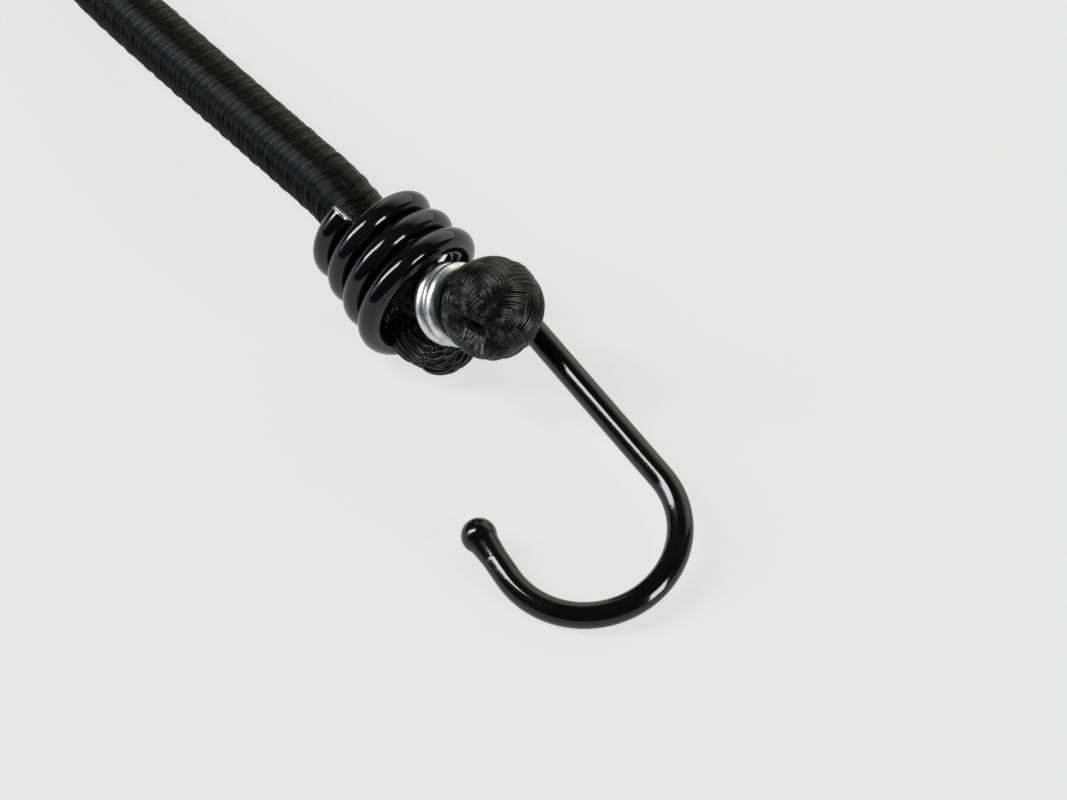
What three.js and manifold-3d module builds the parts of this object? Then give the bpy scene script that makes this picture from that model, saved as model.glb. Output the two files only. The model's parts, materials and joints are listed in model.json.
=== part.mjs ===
// Bungee cord: a braided elastic cord with a coil-wound wire hook on each end.
// Millimetres, +Z up. The cord lies along X on the table, which is z = 0, and the origin is on
// the table under the middle. The two ends are alike, turned half a turn about Z.
// Each end is drawn in its own frame: x runs along the coil's axis towards the hook's bend, with
// zero at the coil's mouth, y points to the side that the shank is on, and z is up.
import * as THREE from "three";
import { mergeVertices } from "three/addons/utils/BufferGeometryUtils.js";
import Module from "manifold-3d";

const wasm = await Module();
wasm.setup();

// Overall
const OVERALL_LENGTH = 300; // relaxed, from bend to bend
const CLEARANCE = 0.3; // between pieces that touch on the real cord

// Cord: rubber strands in a braided sheath
const CORD_D = 10;
const SHEATH_WALL = 0.85;
const STRAND_GAP = 0.25;
const STRAND_RINGS = 2; // one strand in the middle, then rings of 6 and 12 that fill the bore

// Hook: coated steel wire
const WIRE_D = 4;
const COIL_GRIP = 0.4; // from the cord to the inside of the first turn
const COIL_FLARE = 2.35; // how much wider, in radius, the coil is at its mouth
const COIL_GAP = 0.75; // between the turns
const COIL_TURNS = 3.55;
const COIL_END_DEG = -51; // where the last turn ends, counted from the shank's side
const SHANK_TUCK = 0.45; // the shank lies this much inside the last turn's radius
const SHANK_TURN_LENGTH = 9; // along the axis, where the wire turns from the coil into the shank
const SHANK_TURN_EASE = 5.6; // how far the wire holds its way into and out of that turn
const SHANK_LENGTH = 45.3; // from the mouth to the start of the bend
const BEND_R = 13.7; // at the wire's middle
const BEND_TURN_IN_DEG = 5; // past the half turn
const TIP_RUN = 3.4; // straight, from the bend to the bead

// Bead on the hook's tip, moulded over a turned-down end
const BEAD_SWELL = 0.7; // in radius, past the wire
const BEAD_NECK = 1.8; // from the back of the ball to the bead's thin end
const BEAD_NECK_SWELL = 0.15; // in radius, where the neck runs into the ball
const SPIGOT_STEP = 0.7; // the end is turned down by this much in radius
const SPIGOT_SHORT = 0.6; // the spigot ends this far before the middle of the bead
const SHOULDER = 0.02; // the length over which a round piece steps from one radius to another

// Cord end: it leaves the mouth, is clamped by a wire clip and swells into a knob
const NECK_BEHIND = 0.6; // how far the end's sheath goes on behind the coil
const STUB_TURN_DEG = 42; // from the coil's axis to the way the stub points
const STUB_BEND = 3.8; // along the cord, each side of the bend at the mouth
const WAIST_PINCH = 1.1; // in radius, under the clip
const KNOB_SWELL = 4; // in radius, past the waist
const BELLY_D = 9.7; // the slack fold of cord below the clip
const BELLY = new THREE.Vector3(6.4, -1.9, -0.6);
const CLIP_FROM_MOUTH = 3.16; // along the stub
const CLIP_WIRE_D = 2.2;
const CLIP_GAP = 0.3; // between the turns
const CLIP_TURNS = 1.9;
const CLIP_START_DEG = 35; // round the stub, counted from its level side

// Lie on the table
const HOOK_ROLL_DEG = 11; // the hook's tip side is the lower one

// The cord's own route on the table, near half, from behind the coil to the middle: [x, z]
const ROUTE = [
  [68.1, 14.12],
  [65.85, 14.25],
  [63.6, 14.07],
  [57, 13.07],
  [52, 12.32],
  [45, 11.26],
  [38, 10.21],
  [31, 9.17],
  [24, 8.14],
  [17, 7.15],
  [11, 6.36],
  [5, 5.72],
];
const ROUTE_MIDDLE = [0, 5.5];

// Facets
const WIRE_SIDES = 8;
const COIL_STEPS_PER_TURN = 16;
const TURN_STEPS = 8;
const SHANK_STEPS = 3;
const BEND_STEPS = 15; // odd, so that one facet faces back along the axis
const CORD_SIDES = 12;
const STRAND_SIDES = 5;
const BEAD_STEPS = 8;
const CLIP_SIDES = 6;
const CLIP_STEPS_PER_TURN = 16;
const ROUND_SIDES = 12;
const BALL_ROWS = 8;
const STUB_BEND_STEPS = 4;
const KNOB_STEPS = 9;
const KNOB_CLOSED_DEG = 84; // the last ring of the knob, which a flat closes
const SAME_POINT = 1e-4; // corners closer than this are one
const STEEPEST_DIP_DEG = 45; // where the search for the hook's resting dip starts
const DIP_HALVINGS = 40;

// Sizes that follow from those above
const CORD_R = CORD_D / 2;
const WIRE_R = WIRE_D / 2;
const COIL_R_REAR = CORD_R + COIL_GRIP + WIRE_R;
const COIL_R_MOUTH = COIL_R_REAR + COIL_FLARE;
const COIL_LENGTH = (WIRE_D + COIL_GAP) * COIL_TURNS;
const SHANK_Y = COIL_R_MOUTH - SHANK_TUCK;
const BEND_Y = SHANK_Y - BEND_R;
const BEAD_R = WIRE_R + BEAD_SWELL;
const BEAD_BACK = BEAD_R + BEAD_NECK; // from the bead's middle to its thin end
const SPIGOT_R = WIRE_R - SPIGOT_STEP;
const NECK_LENGTH = COIL_LENGTH + WIRE_R + NECK_BEHIND; // from the mouth
const BORE_R = CORD_R - SHEATH_WALL;
const STRAND_ROOM = BORE_R * Math.cos(Math.PI / CORD_SIDES) - CLEARANCE;
const STRAND_D = (STRAND_ROOM - STRAND_RINGS * STRAND_GAP) / (STRAND_RINGS + 0.5);
const TAIL_BACK = STUB_BEND + CLEARANCE; // the strands are pressed into one tail from here on
const WAIST_R = CORD_R - WAIST_PINCH;
const KNOB_R = WAIST_R + KNOB_SWELL;
const CLIP_WIRE_R = CLIP_WIRE_D / 2;
const CLIP_R = WAIST_R + CLEARANCE + CLIP_WIRE_R;
const CLIP_LENGTH = (CLIP_WIRE_D + CLIP_GAP) * CLIP_TURNS; // at the wire's middle
const CLIP_HALF = CLIP_LENGTH / 2 + CLIP_WIRE_R;

// Along the stub: the clip sits on the waist, and the knob swells out just ahead of it. The knob's
// back is pressed flat where it is as wide as the clip.
const clipOutside = CLIP_R + CLIP_WIRE_R;
const knobBack = Math.sqrt(KNOB_R ** 2 - clipOutside ** 2);
const clipAt = CLIP_FROM_MOUTH + CLIP_HALF;
const knobAt = clipAt + CLIP_HALF + CLEARANCE + knobBack;

// Round the coil's axis, the stub lies where the knob rests against the side of the shank.
const stubTurn = THREE.MathUtils.degToRad(STUB_TURN_DEG);
const knobOut = knobAt * Math.sin(stubTurn);
const knobToShank = KNOB_R + WIRE_R + CLEARANCE;
const sides = SHANK_Y ** 2 + knobOut ** 2 - knobToShank ** 2;
const stubRound = Math.acos(sides / (2 * SHANK_Y * knobOut));
const STUB = new THREE.Vector3(
  Math.cos(stubTurn),
  Math.sin(stubTurn) * Math.cos(stubRound),
  Math.sin(stubTurn) * Math.sin(stubRound),
);
const KNOB = STUB.clone().multiplyScalar(knobAt);
const CLIP = STUB.clone().multiplyScalar(clipAt);

// Finishes
const finish = (color, roughness, metalness) =>
  new THREE.MeshStandardMaterial({ color, roughness, metalness });
const BLACK_COATING = finish("#121214", 0.18, 0);
const BLACK_VINYL = finish("#151517", 0.25, 0);
const BLACK_BRAID = finish("#26272a", 0.85, 0);
const RUBBER = finish("#c9b48a", 0.7, 0);
const ZINC = finish("#c9cac6", 0.3, 1);

// A tube through points. outward gives, at each point, the side that a flat of the tube faces.
function sweep(points, outward, radii, sides) {
  const positions = [];
  const faces = [];
  const last = points.length - 1;
  points.forEach((point, i) => {
    const ahead = points[Math.min(i + 1, last)];
    const behind = points[Math.max(i - 1, 0)];
    const along = ahead.clone().sub(behind).normalize();
    const normal = outward[i].clone().addScaledVector(along, -outward[i].dot(along)).normalize();
    const side = along.clone().cross(normal);
    for (let k = 0; k < sides; k++) {
      const angle = ((k + 0.5) * 2 * Math.PI) / sides;
      const corner = point
        .clone()
        .addScaledVector(normal, radii[i] * Math.cos(angle))
        .addScaledVector(side, radii[i] * Math.sin(angle));
      positions.push(corner.x, corner.y, corner.z);
    }
  });
  for (let i = 0; i < last; i++) {
    for (let k = 0; k < sides; k++) {
      const a = i * sides + k;
      const b = i * sides + ((k + 1) % sides);
      faces.push(a, b, b + sides, a, b + sides, a + sides);
    }
  }
  for (let k = 1; k < sides - 1; k++) {
    faces.push(0, k + 1, k);
    const end = last * sides;
    faces.push(end, end + k, end + k + 1);
  }
  const geometry = new THREE.BufferGeometry();
  geometry.setAttribute("position", new THREE.Float32BufferAttribute(positions, 3));
  geometry.setIndex(faces);
  return geometry;
}

// A closed geometry as a solid that can be joined and cut.
function solid(geometry) {
  const bare = geometry.clone();
  bare.deleteAttribute("normal");
  bare.deleteAttribute("uv");
  const merged = mergeVertices(bare, SAME_POINT);
  return new wasm.Manifold(
    new wasm.Mesh({
      numProp: 3,
      vertProperties: new Float32Array(merged.attributes.position.array),
      triVerts: new Uint32Array(merged.index.array),
    }),
  );
}

function geometryOf(body) {
  const mesh = body.getMesh();
  const geometry = new THREE.BufferGeometry();
  geometry.setAttribute("position", new THREE.BufferAttribute(mesh.vertProperties, 3));
  geometry.setIndex(new THREE.BufferAttribute(mesh.triVerts, 1));
  return geometry;
}

function rod(from, to, radius) {
  const length = from.distanceTo(to);
  const turn = new THREE.Quaternion().setFromUnitVectors(
    new THREE.Vector3(0, 1, 0),
    to.clone().sub(from).normalize(),
  );
  const middle = from.clone().add(to).multiplyScalar(0.5);
  const geometry = new THREE.CylinderGeometry(radius, radius, length, ROUND_SIDES);
  return solid(geometry.applyQuaternion(turn).translate(middle.x, middle.y, middle.z));
}

function ball(centre, radius) {
  const geometry = new THREE.SphereGeometry(radius, ROUND_SIDES, BALL_ROWS);
  return solid(geometry.translate(centre.x, centre.y, centre.z));
}

// The hook's middle line with the outward side of each point: coil, turn, shank, bend and tip.
function hookLine() {
  const points = [];
  const outward = [];
  const add = (x, y, z, ox, oy, oz) => {
    points.push(new THREE.Vector3(x, y, z));
    outward.push(new THREE.Vector3(ox, oy, oz));
  };
  const endAngle = THREE.MathUtils.degToRad(COIL_END_DEG);
  const coilSteps = Math.round(COIL_TURNS * COIL_STEPS_PER_TURN);
  for (let i = 0; i <= coilSteps; i++) {
    const share = i / coilSteps;
    const angle = endAngle - 2 * Math.PI * COIL_TURNS * (1 - share);
    const radius = COIL_R_REAR + COIL_FLARE * share;
    const [c, s] = [Math.cos(angle), Math.sin(angle)];
    add(-COIL_LENGTH * (1 - share), radius * c, radius * s, 0, c, s);
  }
  const turnEnd = new THREE.Vector3(SHANK_TURN_LENGTH, SHANK_Y, 0);
  const coilEnd = points[coilSteps].clone();
  const leaving = new THREE.Vector3(0, -Math.sin(endAngle), Math.cos(endAngle));
  const turn = new THREE.CubicBezierCurve3(
    coilEnd,
    coilEnd.clone().addScaledVector(leaving, SHANK_TURN_EASE),
    turnEnd.clone().sub(new THREE.Vector3(SHANK_TURN_EASE, 0, 0)),
    turnEnd,
  );
  for (let i = 1; i <= TURN_STEPS; i++) {
    const p = turn.getPoint(i / TURN_STEPS);
    const r = Math.hypot(p.y, p.z);
    add(p.x, p.y, p.z, 0, p.y / r, p.z / r);
  }
  for (let i = 1; i <= SHANK_STEPS; i++) {
    const x = THREE.MathUtils.lerp(SHANK_TURN_LENGTH, SHANK_LENGTH, i / SHANK_STEPS);
    add(x, SHANK_Y, 0, 0, 1, 0);
  }
  const bendAngles = [];
  for (let i = 1; i <= BEND_STEPS; i++) bendAngles.push((i * Math.PI) / BEND_STEPS);
  bendAngles.push(Math.PI + THREE.MathUtils.degToRad(BEND_TURN_IN_DEG));
  for (const angle of bendAngles) {
    const [c, s] = [Math.cos(angle), Math.sin(angle)];
    add(SHANK_LENGTH + BEND_R * s, BEND_Y + BEND_R * c, 0, s, c, 0);
  }
  return { points, outward };
}

// The middle of the bead and the way the tip points.
function tipOf(line) {
  const angle = Math.PI + THREE.MathUtils.degToRad(BEND_TURN_IN_DEG);
  const along = new THREE.Vector3(Math.cos(angle), -Math.sin(angle), 0);
  const run = TIP_RUN + CLEARANCE + BEAD_BACK;
  const middle = line.points.at(-1).clone().addScaledVector(along, run);
  return { middle, along };
}

function hookWire() {
  const line = hookLine();
  const tip = tipOf(line);
  const { points, outward } = line;
  const radii = points.map(() => WIRE_R);
  const side = outward.at(-1);
  const extend = (back, radius) => {
    points.push(tip.middle.clone().addScaledVector(tip.along, -back));
    outward.push(side);
    radii.push(radius);
  };
  extend(BEAD_BACK + CLEARANCE, WIRE_R);
  extend(BEAD_BACK + CLEARANCE - SHOULDER, SPIGOT_R);
  extend(SPIGOT_SHORT, SPIGOT_R);
  return sweep(points, outward, radii, WIRE_SIDES);
}

// Bead turned about its own axis, which is Y here: a ball with a tapered neck and a blind bore.
function hookBead() {
  const bore = SPIGOT_R + CLEARANCE;
  const boreEnd = -SPIGOT_SHORT + CLEARANCE;
  const neckR = WIRE_R + BEAD_NECK_SWELL;
  const profile = [
    new THREE.Vector2(bore, -BEAD_BACK),
    new THREE.Vector2(WIRE_R, -BEAD_BACK),
    new THREE.Vector2(neckR, -BEAD_R),
  ];
  const start = -Math.acos(neckR / BEAD_R);
  for (let i = 0; i < BEAD_STEPS; i++) {
    const angle = THREE.MathUtils.lerp(start, Math.PI / 2, i / BEAD_STEPS);
    profile.push(new THREE.Vector2(BEAD_R * Math.cos(angle), BEAD_R * Math.sin(angle)));
  }
  profile.push(new THREE.Vector2(0, BEAD_R));
  profile.push(new THREE.Vector2(0, boreEnd));
  profile.push(new THREE.Vector2(bore, boreEnd));
  profile.push(profile[0].clone());
  return new THREE.LatheGeometry(profile, CORD_SIDES);
}

function clipWire() {
  const points = [];
  const outward = [];
  const across = new THREE.Vector3(0, 0, 1).cross(STUB).normalize();
  const over = STUB.clone().cross(across);
  const start = THREE.MathUtils.degToRad(CLIP_START_DEG);
  const steps = Math.round(CLIP_TURNS * CLIP_STEPS_PER_TURN);
  for (let i = 0; i <= steps; i++) {
    const angle = start + (2 * Math.PI * CLIP_TURNS * i) / steps;
    const side = across
      .clone()
      .multiplyScalar(Math.cos(angle))
      .addScaledVector(over, Math.sin(angle));
    const along = CLIP_LENGTH * (i / steps - 0.5);
    outward.push(side);
    points.push(CLIP.clone().addScaledVector(STUB, along).addScaledVector(side, CLIP_R));
  }
  return { points, outward };
}

// The cord's end drawn in by inset: 0 is the sheath's outside, more is its bore or its filling.
// It runs from behind the mouth along the coil, bends towards the knob and swells into it.
function cordEnd(from, inset) {
  const points = [new THREE.Vector3(from, 0, 0)];
  const radii = [CORD_R - inset];
  const bend = new THREE.QuadraticBezierCurve3(
    new THREE.Vector3(-STUB_BEND, 0, 0),
    new THREE.Vector3(0, 0, 0),
    STUB.clone().multiplyScalar(STUB_BEND),
  );
  for (let i = 0; i <= STUB_BEND_STEPS; i++) {
    const share = i / STUB_BEND_STEPS;
    points.push(bend.getPoint(share));
    radii.push(THREE.MathUtils.lerp(CORD_R, WAIST_R, share) - inset);
  }
  const knobRadius = KNOB_R - inset;
  const back = knobBack - inset;
  points.push(KNOB.clone().addScaledVector(STUB, -back - SHOULDER));
  radii.push(WAIST_R - inset);
  const first = -Math.asin(back / knobRadius);
  const last = THREE.MathUtils.degToRad(KNOB_CLOSED_DEG);
  for (let i = 0; i <= KNOB_STEPS; i++) {
    const angle = THREE.MathUtils.lerp(first, last, i / KNOB_STEPS);
    points.push(KNOB.clone().addScaledVector(STUB, knobRadius * Math.sin(angle)));
    radii.push(knobRadius * Math.cos(angle));
  }
  const aside = new THREE.Vector3(1, 0, 0).cross(STUB).normalize();
  return solid(sweep(points, points.map(() => aside), radii, CORD_SIDES));
}

function sheathEnd() {
  const grooveEnds = [-1, 1].map((s) =>
    CLIP.clone().addScaledVector(STUB, s * (CLIP_HALF + CLEARANCE)),
  );
  const grooveOut = clipOutside + CLEARANCE;
  const belly = ball(BELLY, BELLY_D / 2).subtract(rod(...grooveEnds, grooveOut));
  const whole = cordEnd(-NECK_LENGTH, 0).add(belly);
  return geometryOf(whole.subtract(cordEnd(-NECK_LENGTH - CORD_R, SHEATH_WALL)));
}

function rubberTail() {
  return geometryOf(cordEnd(-TAIL_BACK, SHEATH_WALL + CLEARANCE));
}

function named(name, geometry, material) {
  const mesh = new THREE.Mesh(geometry, material);
  mesh.name = name;
  return mesh;
}

// One end of the cord with its hook, in the end's own frame.
function cordEndGroup(prefix) {
  const group = new THREE.Group();
  const wire = named(`${prefix}_hook_wire`, hookWire(), BLACK_COATING);
  const tip = tipOf(hookLine());
  const bead = named(`${prefix}_hook_bead`, hookBead(), BLACK_VINYL);
  bead.position.copy(tip.middle);
  bead.quaternion.setFromUnitVectors(new THREE.Vector3(0, 1, 0), tip.along);
  const clipLine = clipWire();
  const clipRadii = clipLine.points.map(() => CLIP_WIRE_R);
  const clipTube = sweep(clipLine.points, clipLine.outward, clipRadii, CLIP_SIDES);
  group.add(
    wire,
    bead,
    named(`${prefix}_clip`, clipTube, ZINC),
    named(`${prefix}_sheath_end`, sheathEnd(), BLACK_BRAID),
    named(`${prefix}_rubber_tail`, rubberTail(), RUBBER),
  );
  return group;
}

// The dip at which the coil's mouth and the bend both touch the table.
function restingDip(roll) {
  const { points } = hookLine();
  const ahead = points.filter((p) => p.x > SHANK_LENGTH - WIRE_D);
  const behind = points.filter((p) => p.x <= SHANK_TURN_LENGTH);
  const lowest = (list, up) => Math.min(...list.map((p) => p.dot(up)));
  let low = 0;
  let high = THREE.MathUtils.degToRad(STEEPEST_DIP_DEG);
  for (let i = 0; i < DIP_HALVINGS; i++) {
    const dip = (low + high) / 2;
    const up = new THREE.Vector3(
      -Math.sin(dip),
      Math.cos(dip) * Math.sin(roll),
      Math.cos(dip) * Math.cos(roll),
    );
    if (lowest(ahead, up) > lowest(behind, up)) low = dip;
    else high = dip;
  }
  return (low + high) / 2;
}

function placeEnd(group) {
  const roll = THREE.MathUtils.degToRad(HOOK_ROLL_DEG);
  const dip = restingDip(roll);
  group.rotation.set(roll, dip, 0, "ZYX");
  const box = new THREE.Box3().setFromObject(group, true);
  group.position.set(OVERALL_LENGTH / 2 - box.max.x, 0, -box.min.z);
  group.updateMatrixWorld(true);
}

// Middle line of the cord between the two mouths, from the far one to the near one.
function cordLine(nearEnd, fromMouth) {
  const toWorld = (x) => new THREE.Vector3(x, 0, 0).applyMatrix4(nearEnd.matrixWorld);
  const half = [toWorld(-fromMouth)];
  if (fromMouth < NECK_LENGTH) half.push(toWorld(-NECK_LENGTH));
  for (const [x, z] of ROUTE) half.push(new THREE.Vector3(x, 0, z));
  const middle = new THREE.Vector3(ROUTE_MIDDLE[0], 0, ROUTE_MIDDLE[1]);
  const far = half.map((p) => new THREE.Vector3(-p.x, p.y, p.z));
  return [...far, middle, ...half.reverse()];
}

// The line moved aside by the same amount all along: u to the side, v up.
function beside(line, u, v) {
  const side = new THREE.Vector3(0, 1, 0);
  const last = line.length - 1;
  return line.map((p, i) => {
    const along = line[Math.min(i + 1, last)].clone().sub(line[Math.max(i - 1, 0)]).normalize();
    const up = along.clone().cross(side);
    return p.clone().addScaledVector(side, u).addScaledVector(up, v);
  });
}

function cordTube(line, radius, sides) {
  const outward = line.map(() => new THREE.Vector3(0, 1, 0));
  return sweep(line, outward, line.map(() => radius), sides);
}

// Places of the strands in the cord's section: rings of six, twelve and so on round one.
function strandPlaces() {
  const step = STRAND_D + STRAND_GAP;
  const places = [[0, 0]];
  for (let ring = 1; ring <= STRAND_RINGS; ring++) {
    for (let side = 0; side < 6; side++) {
      const from = (side * Math.PI) / 3;
      const to = ((side + 1) * Math.PI) / 3;
      for (let k = 0; k < ring; k++) {
        const share = k / ring;
        const u = THREE.MathUtils.lerp(Math.cos(from), Math.cos(to), share);
        const v = THREE.MathUtils.lerp(Math.sin(from), Math.sin(to), share);
        places.push([ring * step * u, ring * step * v]);
      }
    }
  }
  return places;
}

function buildCord(nearEnd) {
  const group = new THREE.Group();
  const sheathLine = cordLine(nearEnd, NECK_LENGTH + CLEARANCE);
  const outside = solid(cordTube(sheathLine, CORD_R, CORD_SIDES));
  const boreLine = cordLine(nearEnd, NECK_LENGTH - CORD_R);
  const inside = solid(cordTube(boreLine, BORE_R, CORD_SIDES));
  group.add(named("cord_sheath", geometryOf(outside.subtract(inside)), BLACK_BRAID));
  const strandLine = cordLine(nearEnd, TAIL_BACK + CLEARANCE);
  strandPlaces().forEach(([u, v], i) => {
    const name = `rubber_strand_${String(i + 1).padStart(2, "0")}`;
    const tube = cordTube(beside(strandLine, u, v), STRAND_D / 2, STRAND_SIDES);
    group.add(named(name, tube, RUBBER));
  });
  return group;
}

// Least gap of a wound wire to itself, between points at least half a turn apart.
function leastGap(points, stepsPerTurn, diameter) {
  let least = Infinity;
  points.forEach((p, i) => {
    points.slice(i + stepsPerTurn / 2).forEach((q) => {
      least = Math.min(least, p.distanceTo(q) - diameter);
    });
  });
  return least;
}

const coilPoints = hookLine().points.slice(0, Math.round(COIL_TURNS * COIL_STEPS_PER_TURN) + 1);
const coilGap = leastGap(coilPoints, COIL_STEPS_PER_TURN, WIRE_D);
const clipGap = leastGap(clipWire().points, CLIP_STEPS_PER_TURN, CLIP_WIRE_D);
console.log(`least gap to itself: hook's coil ${coilGap.toFixed(2)}, clip ${clipGap.toFixed(2)} mm`);

const nearEnd = cordEndGroup("near");
placeEnd(nearEnd);
const farEnd = cordEndGroup("far");
placeEnd(farEnd);
const farHalf = new THREE.Group();
farHalf.rotation.z = Math.PI;
farHalf.add(farEnd);

const bungee = new THREE.Group();
bungee.add(nearEnd, farHalf, buildCord(nearEnd));

export default bungee;
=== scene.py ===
"""Looks of a bungee cord: a braided elastic cord with a coil-wound, coated wire hook on each end.

The cord lies along X on a pale floor. Sizes in the classes are millimetres, in the frame of one end:
x runs along the coil's axis from the coil's mouth towards the hook's bend, y points to the side that
the shank is on, and z is up. Blender's objects are in metres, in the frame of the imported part.
"""

import json
import logging
import math
from dataclasses import dataclass, field
from enum import Enum
from functools import partial

import bmesh
import bpy
import numpy as np
from mathutils import Matrix, Vector

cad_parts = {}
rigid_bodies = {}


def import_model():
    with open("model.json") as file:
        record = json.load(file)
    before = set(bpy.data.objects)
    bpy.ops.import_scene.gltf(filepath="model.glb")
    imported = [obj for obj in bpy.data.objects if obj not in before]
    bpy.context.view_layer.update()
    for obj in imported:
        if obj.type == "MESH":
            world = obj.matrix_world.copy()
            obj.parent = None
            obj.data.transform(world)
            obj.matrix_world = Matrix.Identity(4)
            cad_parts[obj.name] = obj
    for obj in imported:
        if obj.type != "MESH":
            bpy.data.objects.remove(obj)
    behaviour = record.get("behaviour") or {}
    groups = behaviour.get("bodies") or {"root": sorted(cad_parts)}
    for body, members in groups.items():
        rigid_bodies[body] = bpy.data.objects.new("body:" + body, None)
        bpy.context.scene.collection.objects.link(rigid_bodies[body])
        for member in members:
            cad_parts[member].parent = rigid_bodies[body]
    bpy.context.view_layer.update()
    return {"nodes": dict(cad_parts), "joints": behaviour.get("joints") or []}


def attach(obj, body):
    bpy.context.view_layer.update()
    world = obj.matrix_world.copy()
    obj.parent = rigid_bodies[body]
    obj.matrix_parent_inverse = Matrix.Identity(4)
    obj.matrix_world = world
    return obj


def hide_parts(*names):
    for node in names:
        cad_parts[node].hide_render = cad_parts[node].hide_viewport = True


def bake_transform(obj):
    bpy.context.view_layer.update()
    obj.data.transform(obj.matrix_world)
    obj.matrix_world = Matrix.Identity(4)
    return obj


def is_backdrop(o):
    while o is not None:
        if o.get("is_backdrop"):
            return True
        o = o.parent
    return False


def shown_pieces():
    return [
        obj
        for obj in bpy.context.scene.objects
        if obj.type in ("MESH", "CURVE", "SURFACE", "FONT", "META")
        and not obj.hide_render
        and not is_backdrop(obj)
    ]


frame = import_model()

LOG = logging.getLogger("bungee")
MM = 0.001
X_AXIS, Y_AXIS, Z_AXIS = np.eye(3)
IMAGE_WIDTH_PX = 1067
IMAGE_HEIGHT_PX = 800
SEED = 7
VINYL_IOR = 1.47

# Numbers of the sockets of a Mix node that mixes colours
MIX_SHARE, MIX_FIRST, MIX_SECOND, MIX_RESULT = 0, 6, 7, 2


class Family(Enum):
    """The two ways in which the yarns of a braid wind round the cord."""

    RIGHT = 1
    LEFT = -1


class Slot(Enum):
    """Material slots of the part's record."""

    BRAID = "braided_sheath"
    RUBBER = "rubber"
    WIRE = "coated_wire"
    BEAD = "vinyl_bead"
    ZINC = "zinc_wire"


# Small helpers


def srgb(code: str) -> tuple[float, float, float, float]:
    """Turns an sRGB hex colour into linear RGBA.

    Args:
        code: Colour such as "#1a2b3c".

    Returns:
        Linear red, green, blue and an alpha of one.
    """
    parts = [int(code[i : i + 2], 16) / 255 for i in (1, 3, 5)]
    linear = [c / 12.92 if c <= 0.04045 else ((c + 0.055) / 1.055) ** 2.4 for c in parts]
    return (linear[0], linear[1], linear[2], 1.0)


def add_node(
    tree: bpy.types.NodeTree,
    kind: str,
    settings: dict[str, object] | None = None,
    inputs: dict[str | int, object] | None = None,
) -> bpy.types.NodeOutputs:
    """Adds a node, sets its properties and fills its sockets.

    Args:
        tree: Node tree to add to.
        kind: Blender's name of the node type.
        settings: Properties by name.
        inputs: Values, or sockets to link from, by the input's name or number.

    Returns:
        The new node's outputs.
    """
    node = tree.nodes.new(kind)
    for name, value in (settings or {}).items():
        setattr(node, name, value)
    for key, value in (inputs or {}).items():
        if isinstance(value, bpy.types.NodeSocket):
            tree.links.new(value, node.inputs[key])
        else:
            node.inputs[key].default_value = value
    return node.outputs


def unit(v: np.ndarray) -> np.ndarray:
    """Scales vectors, along their last axis, to length one."""
    return v / np.linalg.norm(v, axis=-1, keepdims=True)


def circle(count: int, side: np.ndarray, over: np.ndarray) -> np.ndarray:
    """Spreads directions evenly round a circle.

    Args:
        count: Number of directions.
        side: The first direction.
        over: The direction a quarter turn further on.

    Returns:
        Directions, one a row.
    """
    angles = np.linspace(0, math.tau, count, endpoint=False)
    return np.cos(angles)[:, None] * side + np.sin(angles)[:, None] * over


def smooth_line(points: np.ndarray, step: float, fineness: int = 24) -> np.ndarray:
    """Runs a smooth curve through points and spaces it evenly.

    Args:
        points: Points to pass through, one a row.
        step: Distance between the points of the result.
        fineness: Number of points worked out for each stretch between two given ones.

    Returns:
        Points on the curve.
    """
    before, after = 2 * points[0] - points[1], 2 * points[-1] - points[-2]
    p = np.vstack([before, points, after])
    t = np.linspace(0, 1, fineness, endpoint=False)[:, None]
    runs = []
    for a, b, c, d in zip(p[:-3], p[1:-2], p[2:-1], p[3:]):
        runs.append(0.5 * (2 * b + (c - a) * t + (2 * a - 5 * b + 4 * c - d) * t**2
                           + (3 * b - a - 3 * c + d) * t**3))
    dense = np.vstack([*runs, points[-1:]])
    at = np.concatenate([[0], np.cumsum(np.linalg.norm(np.diff(dense, axis=0), axis=1))])
    steps = max(int(round(at[-1] / step)), 2)
    wanted = np.linspace(0, at[-1], steps + 1)
    return np.column_stack([np.interp(wanted, at, dense[:, i]) for i in range(3)])


def wander(
    dice: np.random.Generator, along: np.ndarray, waves: int = 3, slow: float = 3.0, fast: float = 10.0
) -> np.ndarray:
    """Gives a gentle random wave between -1 and 1.

    Args:
        dice: Source of random numbers.
        along: Where the wave is read.
        waves: Number of sines that are added up.
        slow: Lowest rate of a sine, in radians for a step of one.
        fast: Highest rate.

    Returns:
        Height of the wave at each place.
    """
    rates = dice.uniform(slow, fast, waves)
    phases = dice.uniform(0, math.tau, waves)
    return sum(np.sin(along * rate + phase) for rate, phase in zip(rates, phases)) / waves


def link_mesh(name: str, mesh: bpy.types.Mesh) -> bpy.types.Object:
    """Puts a mesh into the scene as an object at the origin.

    Args:
        name: Name of the object.
        mesh: Its mesh.

    Returns:
        The new object.
    """
    piece = bpy.data.objects.new(name, mesh)
    bpy.context.scene.collection.objects.link(piece)
    return piece


def dress(piece: bpy.types.Object, body: str, slot: Slot, *nodes: str) -> None:
    """Lets a piece move with a body and stand for CAD nodes.

    Args:
        piece: The piece.
        body: Body that it rides on.
        slot: Slot of the record that its finish belongs to; not used.
        *nodes: CAD nodes that it stands for.
    """
    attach(piece, body)
    if nodes:
        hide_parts(*nodes)


# Where things are


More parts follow.
